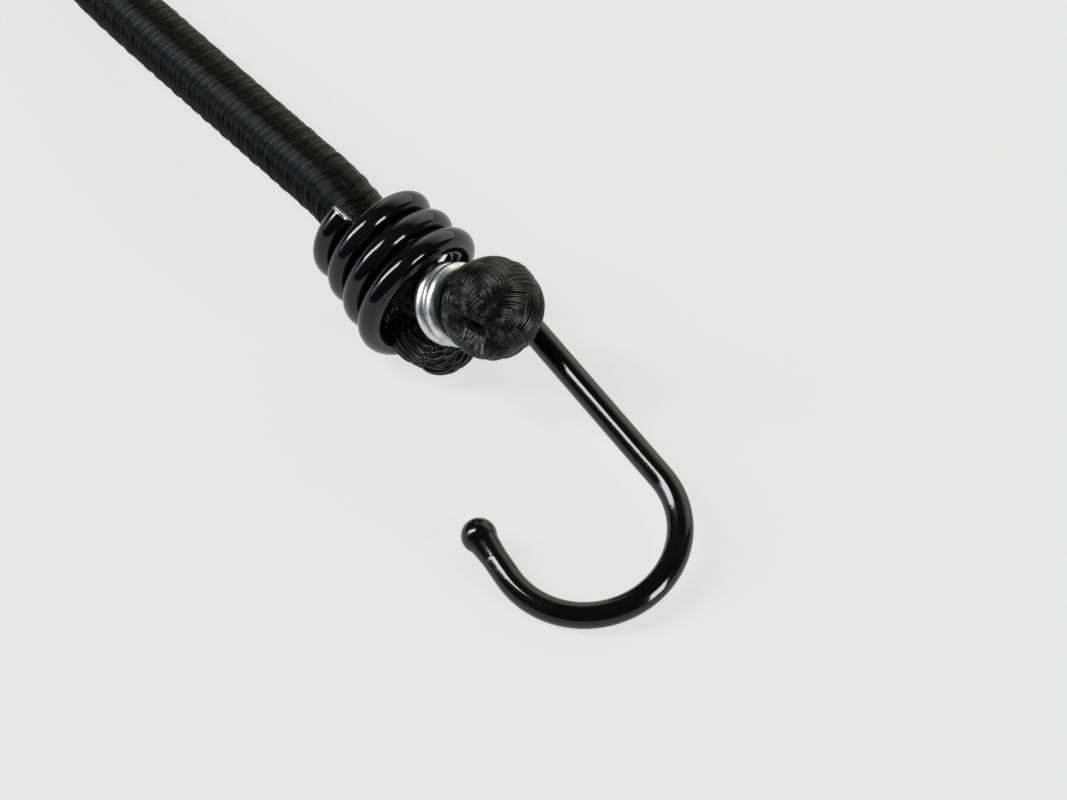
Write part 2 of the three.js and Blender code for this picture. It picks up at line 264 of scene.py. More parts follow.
@dataclass(frozen=True)
class EndPlace:
    """Place of one end of the cord, read from the joint on which its hook turns."""

    name: str
    roll_deg: float = 11.0  # by which the shank's side points up from level

    @property
    def joint(self) -> dict:
        """The joint of this end's hook."""
        return next(j for j in frame["joints"] if j["name"] == f"{self.name}_hook_swivel")

    @property
    def axes(self) -> np.ndarray:
        """Finds the end's own directions.

        Returns:
            Directions of the end's x, y and z, one a row.
        """
        along = unit(np.array(self.joint["axis"], float))
        level = unit(np.cross(Z_AXIS, along))
        over = np.cross(along, level)
        roll = math.radians(self.roll_deg)
        side = math.cos(roll) * level + math.sin(roll) * over
        return np.vstack([along, side, np.cross(along, side)])

    @property
    def cord_body(self) -> str:
        """Body that the cord's end belongs to."""
        return self.joint["parent"]

    @property
    def hook_body(self) -> str:
        """Body that the hook belongs to."""
        return self.joint["child"]

    def place(self, points: np.ndarray) -> np.ndarray:
        """Turns points of the end's frame in millimetres into metres of the part's frame."""
        return np.array(self.joint["pos_m"]) + MM * np.asarray(points, float) @ self.axes

    def turn(self, directions: np.ndarray) -> np.ndarray:
        """Turns directions of the end's frame into those of the part's frame."""
        return np.asarray(directions, float) @ self.axes


@dataclass(frozen=True)
class CordSize:
    """Sizes that the free cord and its two ends share."""

    radius: float = 5.0
    braid_half: float = 0.3  # from the middle of the braid to its outside
    lining_under: float = 0.22  # from the middle of the braid to the lining
    lining_sides: int = 32
    joint_x: float = -15.0  # where the end's braid meets the free cord's, inside the coil


# Sweeping sections along lines


@dataclass
class Lines:
    """Open lines in metres, with the side that a section's flat faces and the section's scale."""

    points: list[np.ndarray] = field(default_factory=list)
    outward: list[np.ndarray] = field(default_factory=list)
    size: list[np.ndarray] = field(default_factory=list)

    def add(self, points: np.ndarray, outward: np.ndarray, size: np.ndarray | float) -> None:
        """Adds one line.

        Args:
            points: Points along it.
            outward: A direction for each point, or one for all.
            size: Scale of the section, one for all points or one each.
        """
        self.points.append(points)
        self.outward.append(np.broadcast_to(outward, points.shape))
        self.size.append(np.broadcast_to(size, len(points)))

    def edge_mesh(self, name: str) -> bpy.types.Mesh:
        """Makes a mesh of edges that carries the lines and their values.

        Args:
            name: Name of the mesh.

        Returns:
            The mesh, with a random shade for each line in the attribute strand.
        """
        counts = [len(line) for line in self.points]
        starts = np.cumsum([0] + counts)
        edges = np.vstack([np.column_stack([np.arange(a, b - 1), np.arange(a + 1, b)])
                           for a, b in zip(starts[:-1], starts[1:])])
        mesh = bpy.data.meshes.new(name)
        mesh.from_pydata(np.vstack(self.points).tolist(), edges.tolist(), [])
        strand = np.repeat(np.random.default_rng(SEED).random(len(counts)), counts)
        for key, kind, part, values in (
            ("outward", "FLOAT_VECTOR", "vector", np.vstack(self.outward)),
            ("size", "FLOAT", "value", np.concatenate(self.size)),
            ("strand", "FLOAT", "value", strand),
        ):
            layer = mesh.attributes.new(key, kind, "POINT")
            layer.data.foreach_set(part, values.astype(np.float32).ravel())
        return mesh


@dataclass(frozen=True)
class Section:
    """Oval section of a wire, yarn or strand."""

    width: float
    thickness: float
    sides: int


class SweepTree:
    """Geometry Nodes tree that sweeps an oval section along each line of an edge mesh."""

    def __init__(self) -> None:
        """Builds the tree and keeps the identifiers of its inputs."""
        self.tree = bpy.data.node_groups.new("section_along_lines", "GeometryNodeTree")
        self.add = partial(add_node, self.tree)
        sockets = self.tree.interface
        sockets.new_socket("Geometry", in_out="INPUT", socket_type="NodeSocketGeometry")
        sockets.new_socket("Geometry", in_out="OUTPUT", socket_type="NodeSocketGeometry")
        self.inputs = {
            name: sockets.new_socket(name, in_out="INPUT", socket_type=kind).identifier
            for name, kind in (
                ("Width", "NodeSocketFloat"),
                ("Thickness", "NodeSocketFloat"),
                ("Sides", "NodeSocketInt"),
                ("Finish", "NodeSocketMaterial"),
            )
        }
        given = self.add("NodeGroupInput")
        swept = self._swept(given, self._section(given))
        smooth = self.add("GeometryNodeSetShadeSmooth", {}, {"Geometry": swept})
        real = self.add("GeometryNodeRealizeInstances", {}, {"Geometry": smooth[0]})
        dressed = self.add("GeometryNodeSetMaterial", {},
                           {"Geometry": real[0], "Material": given["Finish"]})
        self.add("NodeGroupOutput", {}, {"Geometry": dressed[0]})

    def _section(self, given: bpy.types.NodeOutputs) -> bpy.types.NodeSocket:
        """Adds the oval, whose points carry how far across the section they lie.

        Args:
            given: The tree's inputs.

        Returns:
            The oval curve.
        """
        one_across = self.add("GeometryNodeCurvePrimitiveCircle", {},
                              {"Resolution": given["Sides"], "Radius": 0.5})
        place = self.add("GeometryNodeInputPosition")
        apart = self.add("ShaderNodeSeparateXYZ", {}, {0: place[0]})
        across = self.add("GeometryNodeStoreNamedAttribute",
                          {"data_type": "FLOAT", "domain": "POINT"},
                          {"Geometry": one_across[0], "Name": "across", "Value": apart["Y"]})
        scale = self.add("ShaderNodeCombineXYZ", {},
                         {"X": given["Thickness"], "Y": given["Width"], "Z": 1.0})
        return self.add("GeometryNodeTransform", {},
                        {"Geometry": across[0], "Scale": scale[0]})[0]

    def _swept(
        self, given: bpy.types.NodeOutputs, section: bpy.types.NodeSocket
    ) -> bpy.types.NodeSocket:
        """Adds the lines, which carry their length, and sweeps the section along them.

        Args:
            given: The tree's inputs.
            section: The section's curve.

        Returns:
            The swept mesh.
        """
        curve = self.add("GeometryNodeMeshToCurve", {}, {"Mesh": given["Geometry"]})
        outward = self.add("GeometryNodeInputNamedAttribute",
                           {"data_type": "FLOAT_VECTOR"}, {"Name": "outward"})
        faced = self.add("GeometryNodeSetCurveNormal", {"mode": "FREE"},
                         {"Curve": curve[0], "Normal": outward[0]})
        length = self.add("GeometryNodeSplineParameter")["Length"]
        along = self.add("GeometryNodeStoreNamedAttribute",
                         {"data_type": "FLOAT", "domain": "POINT"},
                         {"Geometry": faced[0], "Name": "along", "Value": length})
        size = self.add("GeometryNodeInputNamedAttribute", {"data_type": "FLOAT"}, {"Name": "size"})
        return self.add("GeometryNodeCurveToMesh", {},
                        {"Curve": along[0], "Profile Curve": section, "Scale": size[0],
                         "Fill Caps": True})[0]

    def sweep(
        self, name: str, lines: Lines, section: Section, finish: bpy.types.Material
    ) -> bpy.types.Object:
        """Sweeps a section along lines and settles the result as a plain mesh.

        Args:
            name: Name of the piece.
            lines: Lines to follow, in metres.
            section: Size of the section where the lines' size is one.
            finish: Material of the piece.

        Returns:
            The new piece, at the origin.
        """
        piece = link_mesh(name, lines.edge_mesh(name))
        modifier = piece.modifiers.new("sweep", "NODES")
        modifier.node_group = self.tree
        modifier[self.inputs["Width"]] = section.width * MM
        modifier[self.inputs["Thickness"]] = section.thickness * MM
        modifier[self.inputs["Sides"]] = section.sides
        modifier[self.inputs["Finish"]] = finish
        graph = bpy.context.evaluated_depsgraph_get()
        mesh = bpy.data.meshes.new_from_object(piece.evaluated_get(graph))
        piece.modifiers.clear()
        piece.data = mesh
        for spare in ("outward", "size"):
            if spare in mesh.attributes:
                mesh.attributes.remove(mesh.attributes[spare])
        return piece


# Forms that the braid lies on


@dataclass
class TubeForm:
    """A round tube along a line, with a radius at each point, in metres."""

    line: np.ndarray
    radius: np.ndarray
    side: np.ndarray  # direction from which angles round the tube are counted

    def __post_init__(self) -> None:
        """Carries the first side along the line without twist."""
        steps = np.diff(self.line, axis=0)
        self.at = np.concatenate([[0], np.cumsum(np.linalg.norm(steps, axis=1))])
        self.along = unit(np.gradient(self.line, self.at, axis=0))
        self.taper = np.gradient(self.radius, self.at)
        sides = [self.side]
        for way in self.along:
            sides.append(unit(sides[-1] - way * (sides[-1] @ way)))
        self.sides = np.array(sides[1:])
        self.overs = np.cross(self.along, self.sides)

    @property
    def length(self) -> float:
        """Length of the line."""
        return float(self.at[-1])

    def along_it(self, values: np.ndarray, s: np.ndarray) -> np.ndarray:
        """Reads values between the line's points.

        Args:
            values: A number or a vector for each point of the line.
            s: Distances along the line.

        Returns:
            The values at those distances.
        """
        if values.ndim == 1:
            return np.interp(s, self.at, values)
        return np.column_stack([np.interp(s, self.at, values[:, i]) for i in range(3)])

    def surface(
        self, s: np.ndarray, angle: np.ndarray, lift: np.ndarray | float
    ) -> tuple[np.ndarray, np.ndarray]:
        """Finds points on the tube.

        Args:
            s: Distances along the line.
            angle: Angles round it, counted from the side.
            lift: Heights over the surface.

        Returns:
            The points and the directions out of the surface there.
        """
        turn = angle[:, None]
        out = (np.cos(turn) * unit(self.along_it(self.sides, s))
               + np.sin(turn) * unit(self.along_it(self.overs, s)))
        radius = self.along_it(self.radius, s) + lift
        taper = self.along_it(self.taper, s)[:, None]
        normal = unit(out - taper * unit(self.along_it(self.along, s)))
        return self.along_it(self.line, s) + radius[:, None] * out, normal

    def rings(self, inset_mm: float, sides: int, step_mm: float) -> np.ndarray:
        """Gives the corners of rings round the tube.

        Args:
            inset_mm: How far the rings are drawn in from the surface.
            sides: Corners of a ring.
            step_mm: Least distance between two rings.

        Returns:
            An array of rings, corners and coordinates.
        """
        steps = max(int(self.length / (step_mm * MM)), 2)
        angles = np.linspace(0, math.tau, sides, endpoint=False)
        return np.array([self.surface(np.full(sides, s), angles, -inset_mm * MM)[0]
                         for s in np.linspace(0, self.length, steps + 1)])


def ring_mesh(
    name: str, stacks: list[np.ndarray], finish: bpy.types.Material
) -> bpy.types.Object:
    """Joins stacks of rings into closed, smooth skins.

    Args:
        name: Name of the piece.
        stacks: For each skin an array of rings, corners and coordinates.
        finish: Its material.

    Returns:
        The new piece.
    """
    shape = bmesh.new()
    for stack in stacks:
        rows = [[shape.verts.new(corner) for corner in ring] for ring in stack]
        sides = len(rows[0])
        for low, high in zip(rows[:-1], rows[1:]):
            for k in range(sides):
                shape.faces.new((low[k], low[(k + 1) % sides], high[(k + 1) % sides], high[k]))
        for row in (rows[0], rows[-1]):
            middle = shape.verts.new(sum((v.co for v in row), Vector()) / sides)
            for k in range(sides):
                shape.faces.new((row[k], row[(k + 1) % sides], middle))
    bmesh.ops.recalc_face_normals(shape, faces=shape.faces)
    for face in shape.faces:
        face.smooth = True
    mesh = bpy.data.meshes.new(name)
    shape.to_mesh(mesh)
    shape.free()
    mesh.materials.append(finish)
    return link_mesh(name, mesh)


@dataclass(frozen=True)
class Braid:
    """A braid whose yarns, each of some bundles of filaments, pass over two and under two."""

    carriers: int = 6  # yarns each way
    bundles: int = 4  # of filaments side by side in a yarn
    bundle: Section = Section(width=0.42, thickness=0.28, sides=4)
    crown: float = 0.2  # how much higher a yarn's middle lies than its edges
    lay_deg: float = 74.8  # from the cord's axis to a yarn
    rise: float = 0.13  # of a yarn over the middle of the braid where it lies on top
    flatness: float = 1.8  # how long a yarn stays on top before it dives
    steps_per_wave: int = 18
    step_mm: float = 0.25  # at most, along the cord
    stray: float = 0.13  # how far a bundle wanders, as a share of the room between two
    stray_mm: float = 6.0  # along the cord, in which it wanders to and fro about once
    uneven: float = 0.04  # by which every other yarn lies higher, and the rest lower
    phase_deg: float = 180.0  # sets where round the cord the right-wound yarns come on top

    def wave(self, angle: np.ndarray) -> np.ndarray:
        """Gives 1 where right-wound yarns lie on top and -1 where left-wound ones do."""
        wave = np.cos(angle * self.carriers / 2 - math.radians(self.phase_deg))
        return np.tanh(self.flatness * wave) / math.tanh(self.flatness)

    def lay(self, form: TubeForm, family: Family) -> Lines:
        """Lays one family of yarns over a tube.

        Args:
            form: The tube, whose surface is the braid's middle.
            family: Which way the yarns wind.

        Returns:
            A line for each bundle. Its size is one where the tube has its first radius.
        """
        rate = math.tan(math.radians(self.lay_deg)) / form.radius
        turned = np.concatenate([[0], np.cumsum(np.diff(form.at) * (rate[1:] + rate[:-1]) / 2)])
        steps_per_turn = self.steps_per_wave * self.carriers // 2
        steps = max(int(turned[-1] / math.tau * steps_per_turn),
                    int(form.length / self.step_mm / MM))
        turn = np.linspace(0, turned[-1], steps + 1)
        s = np.interp(turn, turned, form.at)
        size = form.along_it(form.radius, s) / form.radius[0]
        dice = np.random.default_rng(SEED + family.value)
        spacing = math.tau / (self.carriers * self.bundles)
        lines = Lines()
        for k in range(self.carriers * self.bundles):
            yarn, bundle = divmod(k, self.bundles)
            angle = family.value * turn + spacing * k
            share = (2 * bundle + 1) / self.bundles - 1
            tension = self.uneven * (1 if yarn % 2 else -1) - self.crown * share**2
            lift = (family.value * self.rise * self.wave(angle) + tension) * MM
            aside = spacing * self.stray * wander(dice, s / MM / self.stray_mm)
            points, outward = form.surface(s, angle + aside, lift)
            lines.add(points, outward, size)
        return lines


@dataclass(frozen=True)
class KnobForm:
    """The knob's round: a ball whose braid runs from the clip to a cleft where it is tucked in."""

    middle: np.ndarray
    radius: float
    back: float  # from the middle to the flat that presses on the clip
    from_clip: np.ndarray  # direction of the clip, seen from the middle
    to_cleft: np.ndarray  # direction of the cleft
    cleft_run: np.ndarray  # the way the cleft's slit runs, across that direction
    cleft_depth: float = 3.6
    cleft_half_length: float = 3.0
    cleft_half_width: float = 1.1

    def direction(self, u: np.ndarray, v: np.ndarray) -> tuple[np.ndarray, np.ndarray]:
        """Maps the braid's own plane onto the ball without changing angles.

        Args:
            u: From the clip, where it is very low, to the cleft, where it is very high.
            v: Round the way between them.

        Returns:
            Directions from the ball's middle, and the local scale of the map.
        """
        a, b = self.from_clip, self.to_cleft
        mid = unit(a + b)
        run = unit(b - a)
        side = np.cross(mid, run)
        c = math.tan(math.acos(float(np.clip(a @ b, -1, 1))) / 4)
        # The plane's point w goes to c (w + 1) / (w - 1), and on to the ball by a stereographic map
        w = np.exp(u + 1j * v)
        below = np.abs(w - 1) ** 2 + c**2 * np.abs(w + 1) ** 2
        z = c * (w + 1) * np.conj(w - 1)
        point = ((np.abs(w - 1) ** 2 - c**2 * np.abs(w + 1) ** 2)[:, None] * mid
                 + 2 * z.real[:, None] * run + 2 * z.imag[:, None] * side) / below[:, None]
        return unit(point), 4 * c * np.abs(w) / below

    def at(self, direction: np.ndarray, lift: np.ndarray) -> np.ndarray:
        """Finds points of the knob.

        Args:
            direction: Directions from the ball's middle, one a row.
            lift: Heights over the surface.

        Returns:
            The points, drawn in at the cleft and pressed flat behind the clip.
        """
        across = np.cross(self.to_cleft, self.cleft_run)
        ahead = direction @ self.to_cleft > 0
        x = np.where(ahead, self.radius * (direction @ self.cleft_run), np.inf)
        y = self.radius * (direction @ across)
        sink = self.cleft_depth * np.exp(-(x / self.cleft_half_length) ** 2
                                         - (y / self.cleft_half_width) ** 2)
        point = (self.radius - sink + lift)[:, None] * direction
        past = np.maximum(point @ self.from_clip - self.back - lift, 0.0)
        return self.middle + point - past[:, None] * self.from_clip

    def rings(self, inset: float, rows: int, sides: int) -> np.ndarray:
        """Gives the corners of rings round the knob.

        Args:
            inset: How far the rings are drawn in from the surface.
            rows: Number of rings.
            sides: Corners of a ring.

        Returns:
            An array of rings, corners and coordinates.
        """
        axis = self.from_clip
        side = unit(np.cross(axis, self.to_cleft))
        round_it = circle(sides, side, np.cross(axis, side))
        polars = np.linspace(0, math.pi, rows + 2)[1:-1]
        return np.array([self.at(math.cos(polar) * axis + math.sin(polar) * round_it,
                                 np.full(sides, -inset)) for polar in polars])


@dataclass(frozen=True)
class KnobBraid:
    """The braid spread over the knob, where each yarn shows its bundles of filaments."""

    carriers: int = 16  # yarns each way
    bundles: int = 8  # of filaments side by side in a yarn
    bundle: Section = Section(width=1.4, thickness=0.9, sides=4)  # where it has 1 mm of room
    fill: float = 0.98  # of the room between two yarns
    crown: float = 0.16  # how much higher a yarn's middle lies than its edges
    rise: float = 0.2
    flatness: float = 1.6  # how long a yarn stays on top before it dives
    slack: float = 0.05  # by which whole yarns lie higher or lower
    bundle_slack: float = 0.05  # by which single bundles do
    stray: float = 0.09  # how far a bundle wanders
    phase_deg: float = 45.0  # sets where round the knob the right-wound yarns come on top
    late: float = 0.2  # by which a yarn's crossings come early or late, in radians
    first: float = -3.2  # where the yarns start and end between the clip and the cleft
    last: float = 3.0
    steps: int = 130

    def lay(self, form: KnobForm, family: Family, place: EndPlace) -> Lines:
        """Lays one family of yarns over the knob.

        Args:
            form: The knob, in millimetres of the end's frame.
            family: Which way the yarns wind.
            place: Where the end is.

        Returns:
            A line for each bundle. Its size is the room that the bundle has, in millimetres.
        """
        dice = np.random.default_rng(SEED + family.value)
        along = np.linspace(self.first, self.last, self.steps)
        spacing = math.tau / self.carriers
        lines = Lines()
        for k in range(self.carriers):
            turned = family.value * along + spacing * k
            slack, late = dice.uniform(-1, 1, 2)
            phase = turned * self.carriers / 2 - math.radians(self.phase_deg) + self.late * late
            wave = np.tanh(self.flatness * np.cos(phase))
            for j in range(self.bundles):
                share = (j + 0.5) / self.bundles - 0.5
                aimless = wander(dice, along)
                aside = spacing * self.fill * share / 2
                outward, scale = form.direction(along - family.value * aside, turned + aside)
                aside = aside + aimless * self.stray / (form.radius * scale)
                strayed, _ = form.direction(along - family.value * aside, turned + aside)
                room = form.radius * scale * spacing * math.sqrt(0.5) / self.bundles
                uneven = (self.slack * slack
                          + dice.uniform(-self.bundle_slack, self.bundle_slack))
                lift = np.minimum(scale, 1.0) * (
                    family.value * self.rise * wave - self.crown * (2 * share) ** 2 + uneven)
                lines.add(place.place(form.at(strayed, lift)), place.turn(outward), room)
        return lines


# Finishes


@dataclass(frozen=True)
class Span:
    """A range of values and what it is turned into, held at its ends."""

    low: float
    high: float
    start: float = 0.0
    end: float = 1.0

    def of(self, value: bpy.types.NodeSocket) -> dict[str, object]:
        """Gives the inputs with which a Map Range node does this to a value."""
        return {"Value": value, "From Min": self.low, "From Max": self.high,
                "To Min": self.start, "To Max": self.end}


@dataclass(frozen=True)
class Tones:
    """Two sRGB colours that run into each other."""

    first: str
    second: str

    def by(self, share: bpy.types.NodeSocket) -> dict[int, object]:
        """Gives the inputs with which a Mix node mixes the colours by a share."""
        return {MIX_SHARE: share, MIX_FIRST: srgb(self.first), MIX_SECOND: srgb(self.second)}


class Material:
    """A new material to which nodes are added."""

    def __init__(self, name: str) -> None:
        """Makes the empty material.

        Args:
            name: Name of the real material.
        """
        self.material = bpy.data.materials.new(name)
        self.material.use_nodes = True
        self.material.node_tree.nodes.clear()
        self.add = partial(add_node, self.material.node_tree)

    def close(self, shader: bpy.types.NodeSocket) -> bpy.types.Material:
        """Leads a shader to the output and gives the finished material."""
        self.add("ShaderNodeOutputMaterial", {}, {"Surface": shader})
        return self.material

    def clouds(self, grain_mm: float, detail: float = 2.0) -> bpy.types.NodeSocket:
        """Adds a cloudy pattern that lies in the piece.

        Args:
            grain_mm: Width of a cloud.
            detail: How many times finer clouds are added.

        Returns:
            The pattern, about 0.5 on average.
        """
        where = self.add("ShaderNodeTexCoord")["Object"]
        return self.add("ShaderNodeTexNoise", {},
                        {"Vector": where, "Scale": 1 / (grain_mm * MM), "Detail": detail})["Fac"]

    def streaks(self, across: float, length_mm: float) -> bpy.types.NodeSocket:
        """Adds streaks that run along a swept piece, other ones on each of its lines.

        Args:
            across: Number of streaks across the section.
            length_mm: Length of a streak.

        Returns:
            The pattern, about 0.5 on average.
        """
        apart = 91.0  # between the patterns of two lines, far more than a streak's width
        scaled = []
        for name, scale in (("across", across), ("along", 1 / (length_mm * MM)), ("strand", apart)):
            value = self.add("ShaderNodeAttribute", {"attribute_name": name})["Fac"]
            scaled.append(self.add("ShaderNodeMath", {"operation": "MULTIPLY"},
                                   {0: value, 1: scale})[0])
        where = self.add("ShaderNodeCombineXYZ", {}, dict(zip("XYZ", scaled)))[0]
        return self.add("ShaderNodeTexNoise", {},
                        {"Vector": where, "Scale": 1.0, "Detail": 3.0})["Fac"]


@dataclass(frozen=True)
class DippedCoating:
    """Steel wire dipped in black vinyl: deep black, mirror-like, with a slight orange peel."""

    tones: Tones = Tones("#040405", "#0b0b0c")  # smooth and scuffed
    patch_mm: float = 7.0  # width of a scuffed patch
    patches: Span = Span(0.45, 0.75)
    fine_detail: float = 1.0  # of the specks and the peel
    speck_mm: float = 0.35
    speck_roughness: Span = Span(0.55, 0.8, 0.0, 0.07)
    speck_depth_mm: float = 0.012
    peel_mm: float = 1.1
    peel_depth_mm: float = 0.006
    roughness: float = 0.1
    steel: str = "#c9cac6"  # bare at the edge of the wire's cut end
    bare_mm: float = 0.42
    bare_edge_mm: float = 0.1  # in which the coating sets in
    bare_roughness: float = 0.2  # more than the coating's

    def build(self) -> bpy.types.Material:
        """Makes the material.

        Returns:
            The finished material.
        """
        made = Material("black vinyl dip coating")
        patch = made.add("ShaderNodeMapRange", {}, self.patches.of(made.clouds(self.patch_mm)))[0]
        specks = made.clouds(self.speck_mm, self.fine_detail)
        grain = made.add("ShaderNodeMapRange", {}, self.speck_roughness.of(specks))[0]
        rough = made.add("ShaderNodeMath", {"operation": "MULTIPLY_ADD"},
                         {0: grain, 1: patch, 2: self.roughness})[0]
        raised = made.add("ShaderNodeMath", {"operation": "MULTIPLY"}, {0: specks, 1: patch})[0]
        grainy = made.add("ShaderNodeBump", {},
                          {"Height": raised, "Distance": self.speck_depth_mm * MM})[0]
        peel = made.add("ShaderNodeBump", {},
                        {"Height": made.clouds(self.peel_mm, self.fine_detail),
                         "Distance": self.peel_depth_mm * MM, "Normal": grainy})[0]
        along = made.add("ShaderNodeAttribute", {"attribute_name": "along"})["Fac"]
        edge = Span(self.bare_mm * MM, (self.bare_mm + self.bare_edge_mm) * MM, 1.0, 0.0)
        bare = made.add("ShaderNodeMapRange", {}, edge.of(along))[0]
        coat = made.add("ShaderNodeMix", {"data_type": "RGBA"}, self.tones.by(patch))[MIX_RESULT]
        colour = made.add("ShaderNodeMix", {"data_type": "RGBA"},
                          {MIX_SHARE: bare, MIX_FIRST: coat,
                           MIX_SECOND: srgb(self.steel)})[MIX_RESULT]
        worn = made.add("ShaderNodeMath", {"operation": "MULTIPLY_ADD"},
                        {0: bare, 1: self.bare_roughness, 2: rough})[0]
        shader = made.add("ShaderNodeBsdfPrincipled", {},
                          {"Base Color": colour, "Roughness": worn, "Metallic": bare,
                           "Normal": peel, "IOR": VINYL_IOR})
        return made.close(shader[0])


@dataclass(frozen=True)
class MouldedBead:
    """Moulded vinyl tip: the same black as the wire, a little softer in its shine."""

    tones: Tones = Tones("#050506", "#0c0c0d")  # new and worn
    wear_mm: float = 2.2
    wear: Span = Span(0.5, 0.8)
    shine_mm: float = 0.8
    roughness: Span = Span(0.3, 0.7, 0.1, 0.2)
    peel_mm: float = 1.0
    peel_detail: float = 1.0
    peel_depth_mm: float = 0.006

    def build(self) -> bpy.types.Material:
        """Makes the material.

        Returns:
            The finished material.
        """
        made = Material("black moulded vinyl")
        wear = made.add("ShaderNodeMapRange", {}, self.wear.of(made.clouds(self.wear_mm)))[0]
        rough = made.add("ShaderNodeMapRange", {}, self.roughness.of(made.clouds(self.shine_mm)))[0]
        colour = made.add("ShaderNodeMix", {"data_type": "RGBA"}, self.tones.by(wear))[MIX_RESULT]
        peel = made.add("ShaderNodeBump", {},
                        {"Height": made.clouds(self.peel_mm, self.peel_detail),
                         "Distance": self.peel_depth_mm * MM})[0]
        shader = made.add("ShaderNodeBsdfPrincipled", {},
                          {"Base Color": colour, "Roughness": rough, "IOR": VINYL_IOR,
                           "Normal": peel})
        return made.close(shader[0])


@dataclass(frozen=True)
class ZincPlate:
    """Bright zinc on drawn wire: pale blue-grey metal with fine lines along the wire."""

    tones: Tones = Tones("#e6e9e8", "#b9bfbe")  # bright and dull
    cloud_mm: float = 1.6
    clouds: Span = Span(0.35, 0.7)
    lines: float = 9.0  # across the wire
    line_mm: float = 2.5  # length of a line
    line_depth_mm: float = 0.03
    roughness: Span = Span(0.3, 0.7, 0.24, 0.42)

    def build(self) -> bpy.types.Material:
        """Makes the material.

        Returns:
            The finished material.
        """
        made = Material("bright zinc plate on drawn wire")
        lines = made.streaks(self.lines, self.line_mm)
        cloud = made.add("ShaderNodeMapRange", {}, self.clouds.of(made.clouds(self.cloud_mm)))[0]
        rough = made.add("ShaderNodeMapRange", {}, self.roughness.of(lines))[0]
        colour = made.add("ShaderNodeMix", {"data_type": "RGBA"}, self.tones.by(cloud))[MIX_RESULT]
        drawn = made.add("ShaderNodeBump", {},
                         {"Height": lines, "Distance": self.line_depth_mm * MM})[0]
        shader = made.add("ShaderNodeBsdfPrincipled", {},
                          {"Base Color": colour, "Metallic": 1.0, "Roughness": rough,
                           "Normal": drawn})
        return made.close(shader[0])


@dataclass(frozen=True)
class BraidYarn:
    """Black polyester multifilament: soft grey lustre on each yarn, with painted shade in the grooves
    between the raised filament streaks.
    """

    name: str = "black polyester braid yarn"
    tones: Tones = Tones("#020202", "#0d0e0e")
    strand_share: float = 0.35  # of the tone that differs from yarn to yarn
    # painted shade: the streaks that raise the bump also set the tone, darker in their grooves and
    # lighter on their crests
    groove_shade: Span = Span(0.35, 0.75, 0.0, 0.65)
    specular: float = 0.21
    roughness: Span = Span(0.3, 0.7, 0.24, 0.36)
    streaks: float = 1.5  # across a yarn, coarser than real filaments so that they show
    streak_mm: float = 1.6
    streak_depth_mm: float = 0.02

    def build(self) -> bpy.types.Material:
        """Makes the material.

        Returns:
            The finished material.
        """
        made = Material(self.name)
        fibre = made.streaks(self.streaks, self.streak_mm)
        strand = made.add("ShaderNodeAttribute", {"attribute_name": "strand"})["Fac"]
        # Painted shade: darker tone where the streaks' bump is low, lighter where it is high
        groove_shade = made.add("ShaderNodeMapRange", {}, self.groove_shade.of(fibre))[0]
        tone = made.add("ShaderNodeMath", {"operation": "MULTIPLY_ADD"},
                        {0: strand, 1: self.strand_share, 2: groove_shade})[0]
        colour = made.add("ShaderNodeMix", {"data_type": "RGBA"}, self.tones.by(tone))[MIX_RESULT]
        rough = made.add("ShaderNodeMapRange", {}, self.roughness.of(fibre))[0]
        relief = made.add("ShaderNodeBump", {},
                          {"Height": fibre, "Distance": self.streak_depth_mm * MM})[0]
        shader = made.add("ShaderNodeBsdfPrincipled", {},
                          {"Base Color": colour, "Roughness": rough, "Normal": relief,
                           "Specular IOR Level": self.specular})
        return made.close(shader[0])


@dataclass(frozen=True)
class MattTwoTone:
    """A matt material in two tones that run into each other."""

    name: str
    tones: Tones
    cloud_mm: float
    roughness: float
    clouds: Span = Span(0.4, 0.7)

    def build(self) -> bpy.types.Material:
        """Makes the material.

        Returns:
            The finished material.
        """
        made = Material(self.name)
        share = made.add("ShaderNodeMapRange", {}, self.clouds.of(made.clouds(self.cloud_mm)))[0]
        colour = made.add("ShaderNodeMix", {"data_type": "RGBA"}, self.tones.by(share))[MIX_RESULT]
        shader = made.add("ShaderNodeBsdfPrincipled", {},
                          {"Base Color": colour, "Roughness": self.roughness})
        return made.close(shader[0])


@dataclass(frozen=True)
class GapShadeLining(MattTwoTone):
    """Dark matt sheet under the braid, seen only in the gaps between yarns: it stands for the black
    yarns below and is painted shade in the gaps, nearly black and without shine.
    """

    name: str = "inside of the black braid"
    tones: Tones = Tones("#060606", "#0d0d0e")
    cloud_mm: float = 0.5
    roughness: float = 0.9


@dataclass(frozen=True)
class LatexRubber(MattTwoTone):
    """Natural latex strand: matt tan with a pale bloom."""

    name: str = "natural latex rubber"
    tones: Tones = Tones("#b99a63", "#d3bf95")
    cloud_mm: float = 1.2
    roughness: float = 0.62


